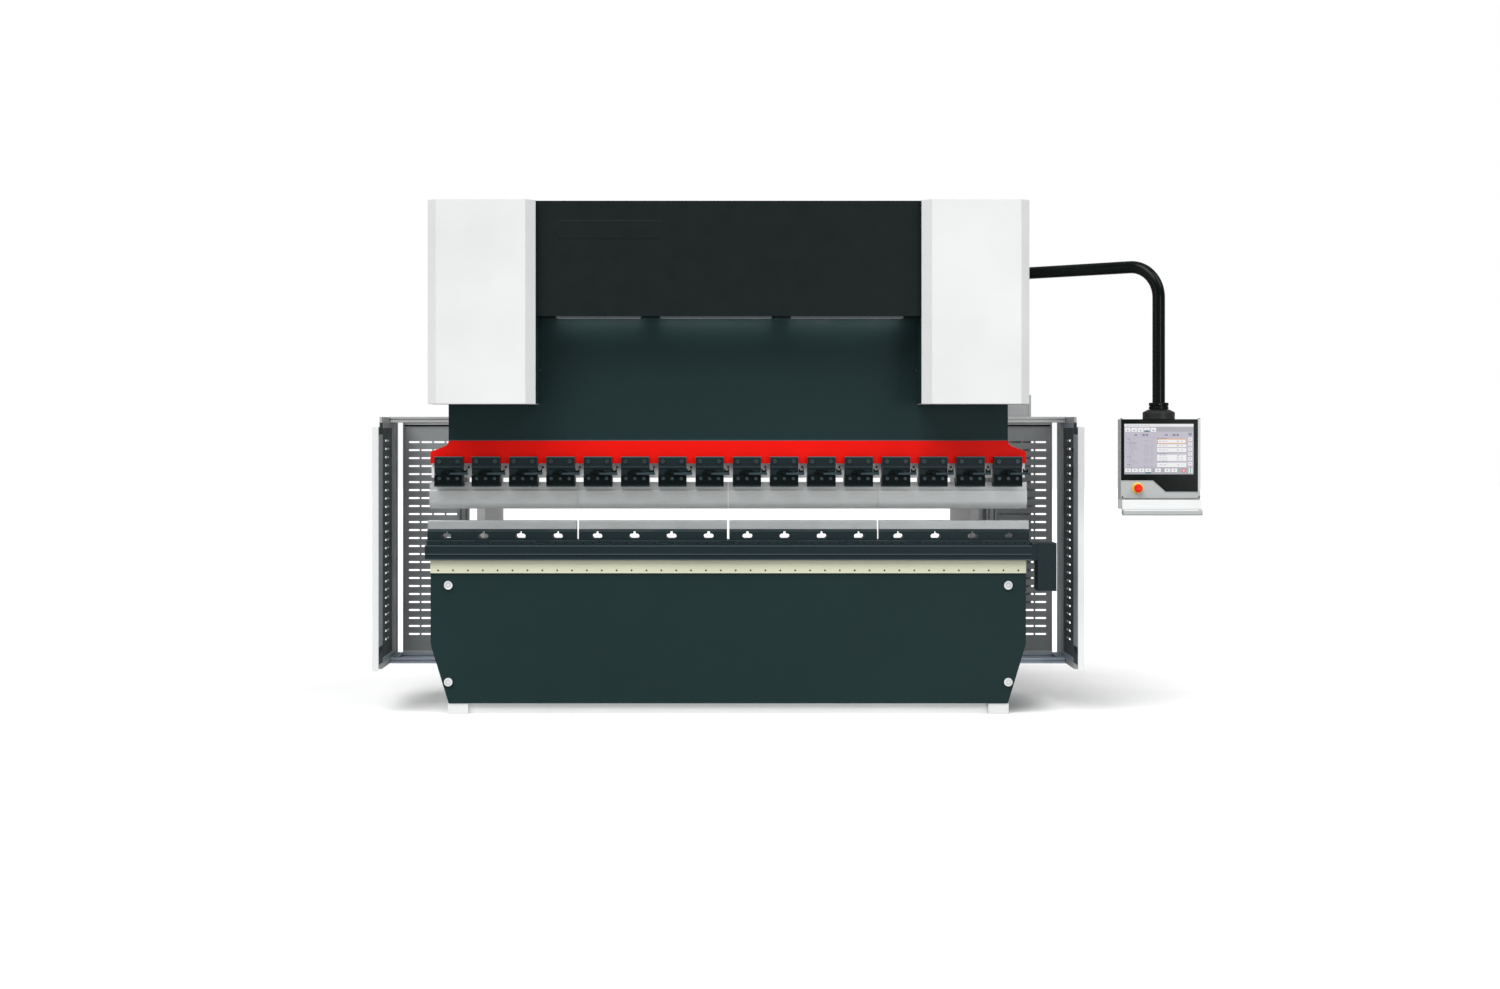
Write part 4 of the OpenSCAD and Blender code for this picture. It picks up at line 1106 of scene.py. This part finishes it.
def cylinder_bolts():
    """Bolt rings on the cylinder heads, and solenoids on the valve blocks."""
    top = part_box("cylinders")[1].z
    boss = [(0, 0.06), (0.004, 0.058), (0.004, 0.02)]
    piece = Piece("cylinder_fittings")
    for x in (-cylinder_x(), cylinder_x()):
        piece.lathe((x, 0, top - 0.0005), UP, boss, SILVER, 40)
        for point in on_circle(x, 0, 0.09, 8, 0.5):
            hexagon(piece, (*point, top), UP, 0.0085, 0.008)
        for z in (2.4, 2.47):
            piece.rod((x, -0.17, z), (x, -0.235, z), 0.02, GROUND)
            piece.box((x - 0.024, -0.228, z - 0.024), (x + 0.024, -0.18, z + 0.024), PLASTIC)
    piece.done("machine_frame", "dark_steel", 0.001)


def rod_flanges():
    """Bolted flanges that hold the piston rods on the shoulders of the ram."""
    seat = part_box("piston_rods")[0].z
    piece = Piece("rod_flanges")
    for x in (-cylinder_x(), cylinder_x()):
        piece.lathe((x, 0, seat), UP, [(0, 0.058), (0.008, 0.058), (0.01, 0.056)], DARK_STEEL, 40)
        for point in on_circle(x, 0, 0.05, 8, 0.5):
            hexagon(piece, (*point, seat + 0.0095), UP, 0.0045, 0.006)
    piece.done("ram", "dark_steel", 0.0006)


def tank_fittings():
    """Lid bolts, ribbed filler cap, return filter, valves and level glass of the oil tank."""
    low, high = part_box("oil_tank")
    inset, pitch = 0.012, 0.1443
    piece = Piece("tank_fittings")
    for k in range(8):
        for y in (low.y + inset, high.y - inset):
            hexagon(piece, (low.x + 0.03 + pitch * k, y, TANK_LID), UP, 0.006, 0.006)
    x, y, radius = -0.4, 0.62, 0.044
    piece.lathe((x, y, high.z - 0.028), UP, [(0, radius), (0.026, radius), (0.0285, 0.04)], PLASTIC, 40)
    for point in on_circle(x, y, radius, 20):
        piece.rod((*point, high.z - 0.026), (*point, high.z - 0.003), 0.003, PLASTIC, 8)
    can = [(0, 0.062), (0.008, 0.062), (0.009, 0.05), (0.06, 0.05), (0.062, 0.056), (0.078, 0.056),
           (0.084, 0.048)]
    piece.lathe((0.33, 0.78, TANK_LID), UP, can, SILVER, 40)
    valve_manifold(piece)
    level_glass(piece, high.y)
    piece.done("machine_frame", "dark_steel", 0.001)


def valve_manifold(piece):
    """Block on the tank lid with three valves, each with a solenoid at both ends."""
    top = TANK_LID + 0.055
    piece.box((-0.16, 0.5, TANK_LID), (0.16, 0.66, top), DARK_STEEL)
    for x in (-0.1, 0.0, 0.1):
        piece.box((x - 0.024, 0.53, top), (x + 0.024, 0.63, top + 0.03), GROUND)
        for y0, y1 in ((0.445, 0.53), (0.63, 0.715)):
            piece.rod((x, y0, top + 0.017), (x, y1, top + 0.017), 0.019, PLASTIC)


def level_glass(piece, wall):
    """Green oil level glass on the rear wall of the tank."""
    x = -0.41
    piece.box((x - 0.02, wall - 0.012, 2.32), (x + 0.02, wall - 0.002, 2.52), PLASTIC)
    piece.rod((x, wall - 0.001, 2.34), (x, wall - 0.001, 2.5), 0.007, GREEN_PLASTIC, 16)
    for z in (2.33, 2.51):
        hexagon(piece, (x, wall - 0.002, z), (0, 1, 0), 0.007, 0.006)


def motor_fittings():
    """Cooling fins, terminal box with its gland, and foot bolts of the pump motor."""
    axis = joint_at("fan_spin")
    y, z = axis.y, axis.z
    inner, outer, half = 0.113, 0.127, 0.0015
    foot = 2.266
    piece = Piece("motor_fittings")
    for k in range(20):
        # From the top round the front and the underside to the lower rear, in steps of 12 degrees.
        a = tau * k / 30 + pi / 2
        out = Vector((cos(a), sin(a)))
        across = Vector((-out.y, out.x)) * half
        corners = [out * inner - across, out * outer - across, out * outer + across, out * inner + across]
        piece.prism([(y + c.x, z + c.y) for c in corners], "x", 0.665, 0.968, PANEL_GREY)
    piece.box((0.73, y - 0.055, z + 0.112), (0.85, y + 0.055, z + 0.172), PANEL_GREY)
    piece.box((0.727, y - 0.058, z + 0.1725), (0.853, y + 0.058, z + 0.18), PANEL_GREY)
    for x in (0.738, 0.842):
        for dy in (-0.046, 0.046):
            hexagon(piece, (x, y + dy, z + 0.18), UP, 0.004, 0.005)
    piece.rod((0.79, y + 0.055, z + 0.14), (0.79, y + 0.08, z + 0.14), 0.013, PLASTIC, 6)
    for x in (0.7, 0.92):
        for dy in (-0.12, 0.12):
            hexagon(piece, (x, y + dy, foot), UP, 0.008, 0.01)
    piece.done("machine_frame", "grey_paint", 0.0005)


def frame_bolts():
    """Bolt heads on the outer faces of the side plates where the cross beams end."""
    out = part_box("side_frames")[1].x
    spots = [(y + dy, z) for y in (0.38, 0.95) for dy in (-0.03, 0.03) for z in (2.17, 2.23)]
    spots += [(y, z) for y in (1.22, 1.34) for z in (0.22, 0.3, 0.38)] + [(1.33, 1.78), (1.33, 1.86)]
    piece = Piece("frame_bolts")
    for side in (-1, 1):
        for y, z in spots:
            hexagon(piece, (side * out, y, z), (side, 0, 0), 0.011, 0.011)
    piece.done("machine_frame", "screw_steel", 0.0008)


def cabinet_trim():
    """Louvres, lock plate, handle and main switch of the cabinet door."""
    low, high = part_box("cabinet_door")
    face, lock = 1.732, low.y + 0.055
    piece = Piece("cabinet_door_trim")
    for z in (start + 0.016 * k for start in (0.62, 1.55) for k in range(7)):
        piece.prism([(face, z), (face + 0.006, z), (face, z + 0.01)], "y", 0.86, 1.13, LIGHT_GREY)
    piece.box((face, lock - 0.025, 1.05), (face + 0.003, lock + 0.025, 1.25), PLASTIC)
    piece.box((high.x - 0.0005, lock - 0.011, 1.09), (high.x + 0.004, lock + 0.011, 1.21), PLASTIC)
    piece.rod((face, lock, 1.065), (face + 0.006, lock, 1.065), 0.007, CHROME, 20)
    y, z, knob = 0.99, 1.4, [(0, 0.028), (0.008, 0.028), (0.01, 0.025)]
    piece.box((face, y - 0.04, z - 0.04), (face + 0.003, y + 0.04, z + 0.04), YELLOW)
    piece.lathe((face + 0.003, y, z), (1, 0, 0), knob, RED_PLASTIC, 40)
    piece.box((face + 0.0135, y - 0.005, z - 0.026), (face + 0.0285, y + 0.005, z + 0.026), RED_PLASTIC)
    piece.rod((face + 0.01, y, z), (face + 0.02, y, z), 0.012, RED_PLASTIC)
    piece.done("cabinet_door", "light_paint", 0.0008)


def cable_glands():
    """Row of glands under the cabinet."""
    profile = [(0, 0.016), (0.008, 0.016), (0.009, 0.013), (0.024, 0.012)]
    piece = Piece("cable_glands")
    for k in range(6):
        piece.lathe((1.56, 0.72 + 0.1 * k, 0.526), (0, 0, -1), profile, PLASTIC, 6)
    piece.done("machine_frame", "black_plastic", 0.0006)


def cabinet_devices():
    """Breakers, contactors and drives on the rails, with slotted cable ducts between the rows."""
    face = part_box("side_frames")[1].x + 0.11
    front, start, length = face + 0.022, 0.715, 0.57
    piece = Piece("cabinet_devices")
    for row, (z, width) in enumerate(((0.72, 0.112), (0.96, 0.054), (1.2, 0.036), (1.44, 0.018))):
        for k in range(int(length / width)):
            y = start + width * k
            body = DARK_GREY_AND_DOOR_SHADE if (row + k) % 3 == 1 else LIGHT_GREY
            piece.box((face, y + 0.001, z + 0.012), (front, y + width - 0.001, z + 0.098), body)
            piece.box((front, y + width * 0.35, z + 0.045), (front + 0.006, y + width * 0.65, z + 0.065),
                      PLASTIC)
        piece.box((face - 0.0955, 0.7, z + 0.135), (face - 0.03, 1.3, z + 0.185), SILVER)
        for y in (0.706 + 0.013 * k for k in range(46)):
            piece.box((face - 0.0302, y, z + 0.139), (face - 0.029, y + 0.006, z + 0.181), PLASTIC)
    piece.done("machine_frame", "cream_paint", 0.0005)


def finger_trim():
    """Knob, stop face and screws of each gauge finger."""
    y = middle("gauge_carriage").y
    knob = [(0, 0.007), (0.01, 0.007), (0.011, 0.016), (0.026, 0.017), (0.03, 0.013)]
    for word in SIDES:
        low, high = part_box("gauge_finger_" + word)
        x, top = (low.x + high.x) / 2, high.z
        piece = Piece(word + "_finger_trim")
        piece.lathe((x, y, top - 0.0065), UP, knob, PLASTIC, 10)
        piece.box((x - 0.024, low.y - 0.0005, top - 0.024), (x + 0.024, low.y + 0.012, top + 0.002), TOOL)
        for at in (x - 0.028, x + 0.028):
            piece.rod((at, y, top - 0.006), (at, y, top - 0.001), 0.005, SCREW, 6)
        piece.done("gauge_finger_" + word, "ground_steel", 0.0008)


def gauge_drives():
    """Motors with gearboxes under both ends of the gauge carriage, and the bolts above them."""
    low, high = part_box("gauge_carriage")
    y, top = (low.y + high.y) / 2, low.z + 0.012
    piece = Piece("gauge_drives")
    for side in (-1, 1):
        piece.side_box(side, (1.02, y - 0.045, 0.6), (1.14, y + 0.045, top), PLASTIC)
        piece.side_box(side, (1.14, y - 0.035, 0.615), (1.2, y + 0.035, top), GROUND)
        for dy in (-0.04, 0.0, 0.04):
            hexagon(piece, (side * 1.28, y + dy, high.z), UP, 0.006, 0.006)
    piece.done("gauge_carriage", "black_plastic", 0.001)


def cover_shade_sheets():
    """Slate sheet on the inner return of each white cover, painted shade that darkens the return."""
    low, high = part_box("right_cover")
    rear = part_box("centre_cover")[1].y
    piece = Piece("cover_shade_sheets")
    for side in SIDES.values():
        # Dark sheet: painted shade on the cover's inner return.
        piece.side_box(side, (low.x - 0.0012, low.y + 0.054, low.z + 0.002),
                       (low.x - 0.0002, rear, high.z - 0.002), SLATE)
    piece.done("machine_frame", "slate_paint", 0)


def cover_screws():
    """Raised screws on the outer sides of the upper covers."""
    rear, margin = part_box("centre_cover")[1].y, 0.08
    head = [(0, 0.01), (0.002, 0.009), (0.0035, 0.005)]
    piece = Piece("cover_screws")
    for word, side in SIDES.items():
        low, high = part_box(word + "_cover")
        x = high.x if side > 0 else low.x
        for k in range(5):
            z = low.z + margin + (high.z - low.z - 2 * margin) * k / 4
            piece.lathe((x, rear - 0.03, z), (side, 0, 0), head, SCREW, 20)
    piece.done("machine_frame", "screw_steel", 0)


# ---------- Studio ----------

def soft_sun(name, heading, energy, angle):
    """Sun that shines from the heading, angle degrees wide."""
    data = bpy.data.lights.new(name, "SUN")
    data.energy = energy
    data.angle = radians(angle)
    add_object(name, data).rotation_euler = Vector(heading).to_track_quat("Z", "Y").to_euler()


def soft_light(name, place, target, width, height, power):
    """Rectangular area light that faces a target."""
    data = bpy.data.lights.new(name, "AREA")
    data.shape = "RECTANGLE"
    data.size = width
    data.size_y = height
    data.energy = power
    light = add_object(name, data)
    light.location = place
    light.rotation_euler = (Vector(target) - Vector(place)).to_track_quat("-Z", "Y").to_euler()


def lamp_glow():
    """Light of the three work lamps, thrown down and back on the ram and the tools."""
    low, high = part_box("work_lights")
    y, z = (low.y + high.y) / 2, low.z - 0.004
    for k, (x0, x1) in enumerate(LAMPS):
        x, length = (x0 + x1) / 2, x1 - x0
        soft_light("lamp_glow_%d" % k, (x, y + 0.1, z), (x, y + 0.21, z - 0.09), length, 0.02, 0.55 * length)


def floor():
    """Plain pale floor, 80 m wide."""
    data = bpy.data.meshes.new("floor")
    reach = 40
    corners = [(-reach, -reach, 0), (reach, -reach, 0), (reach, reach, 0), (-reach, reach, 0)]
    data.from_pydata(corners, [], [(0, 1, 2, 3)])
    data.materials.append(floor_finish())
    add_object("floor", data)


def surround():
    """World that shows white to the camera and gives a softer grey light."""
    world = bpy.data.worlds.new("studio")
    bpy.context.scene.world = world
    world.use_nodes = True
    tree = world.node_tree
    seen, lit = tree.nodes["Background"], tree.nodes.new("ShaderNodeBackground")
    for background in (seen, lit):
        background.inputs["Color"].default_value = (1, 1, 1, 1)
    lit.inputs["Strength"].default_value = 0.36
    path = tree.nodes.new("ShaderNodeLightPath")
    choose = tree.nodes.new("ShaderNodeMixShader")
    tree.links.new(path.outputs["Is Camera Ray"], choose.inputs[0])
    tree.links.new(lit.outputs[0], choose.inputs[1])
    tree.links.new(seen.outputs[0], choose.inputs[2])
    tree.links.new(choose.outputs[0], tree.nodes["World Output"].inputs["Surface"])


def floor_finish():
    """Pale floor that sends less light back up than it shows, so the undersides stay in shade."""
    made = Finish("pale_floor", gloss=0.1, roughness=0.7)
    tone = made.mix(made.drift(0.8, 3), (0.9, 0.9, 0.9), (0.94, 0.94, 0.94))
    seen = made.tree.nodes.new("ShaderNodeLightPath").outputs["Is Camera Ray"]
    shown = made.mix(seen, (0.42, 0.42, 0.42), tone)
    made.colour(shown)
    return made.material


def studio():
    """Floor, surround and large soft lights, the key from the upper left."""
    floor()
    surround()
    soft_sun("overhead", (-0.3, -0.5, 0.81), 2.8, 45)
    soft_sun("overhead_right", (0.58, -0.38, 0.72), 1.2, 40)
    soft_light("left_strip", (-7, -5, 3), (0, 0, 1.2), 2.5, 2.5, 50)
    soft_light("right_strip", (5.5, -9, 1.8), (1.5, 0, 1.2), 2.5, 2.5, 130)
    lamp_glow()


def camera():
    """Level view from the front at eye height, slightly left of the middle."""
    data = bpy.data.cameras.new("camera")
    data.lens = 48.84
    data.shift_x = 0.0233
    data.shift_y = -0.045
    data.clip_end = 200
    view = add_object("camera", data)
    view.location = (-0.071, -11.0, 1.545)
    view.rotation_euler = (pi / 2, 0, 0)
    bpy.context.scene.camera = view


camera()
studio()
bpy.context.scene.view_settings.view_transform = "Standard"
dress_cad_nodes()
guard_frames()
guard_panels()
for word, side in SIDES.items():
    door_frame(word, side)
    door_sheet(word, side)
    door_grip(word, side)
    door_box(word, side)
swing_arm()
pendant_case()
pendant_glass()
pendant_display()
pendant_trim()
stop_button()
pendant_tray()
nose_strip()
work_lights()
for node in CLAMPS:
    clamp_lever(node)
clamp_trim()
ram_edge()
table_trim()
cap_rims()
hydraulic_pipes()
cylinder_bolts()
rod_flanges()
tank_fittings()
motor_fittings()
frame_bolts()
cabinet_trim()
cable_glands()
cabinet_devices()
finger_trim()
gauge_drives()
cover_shade_sheets()
cover_screws()
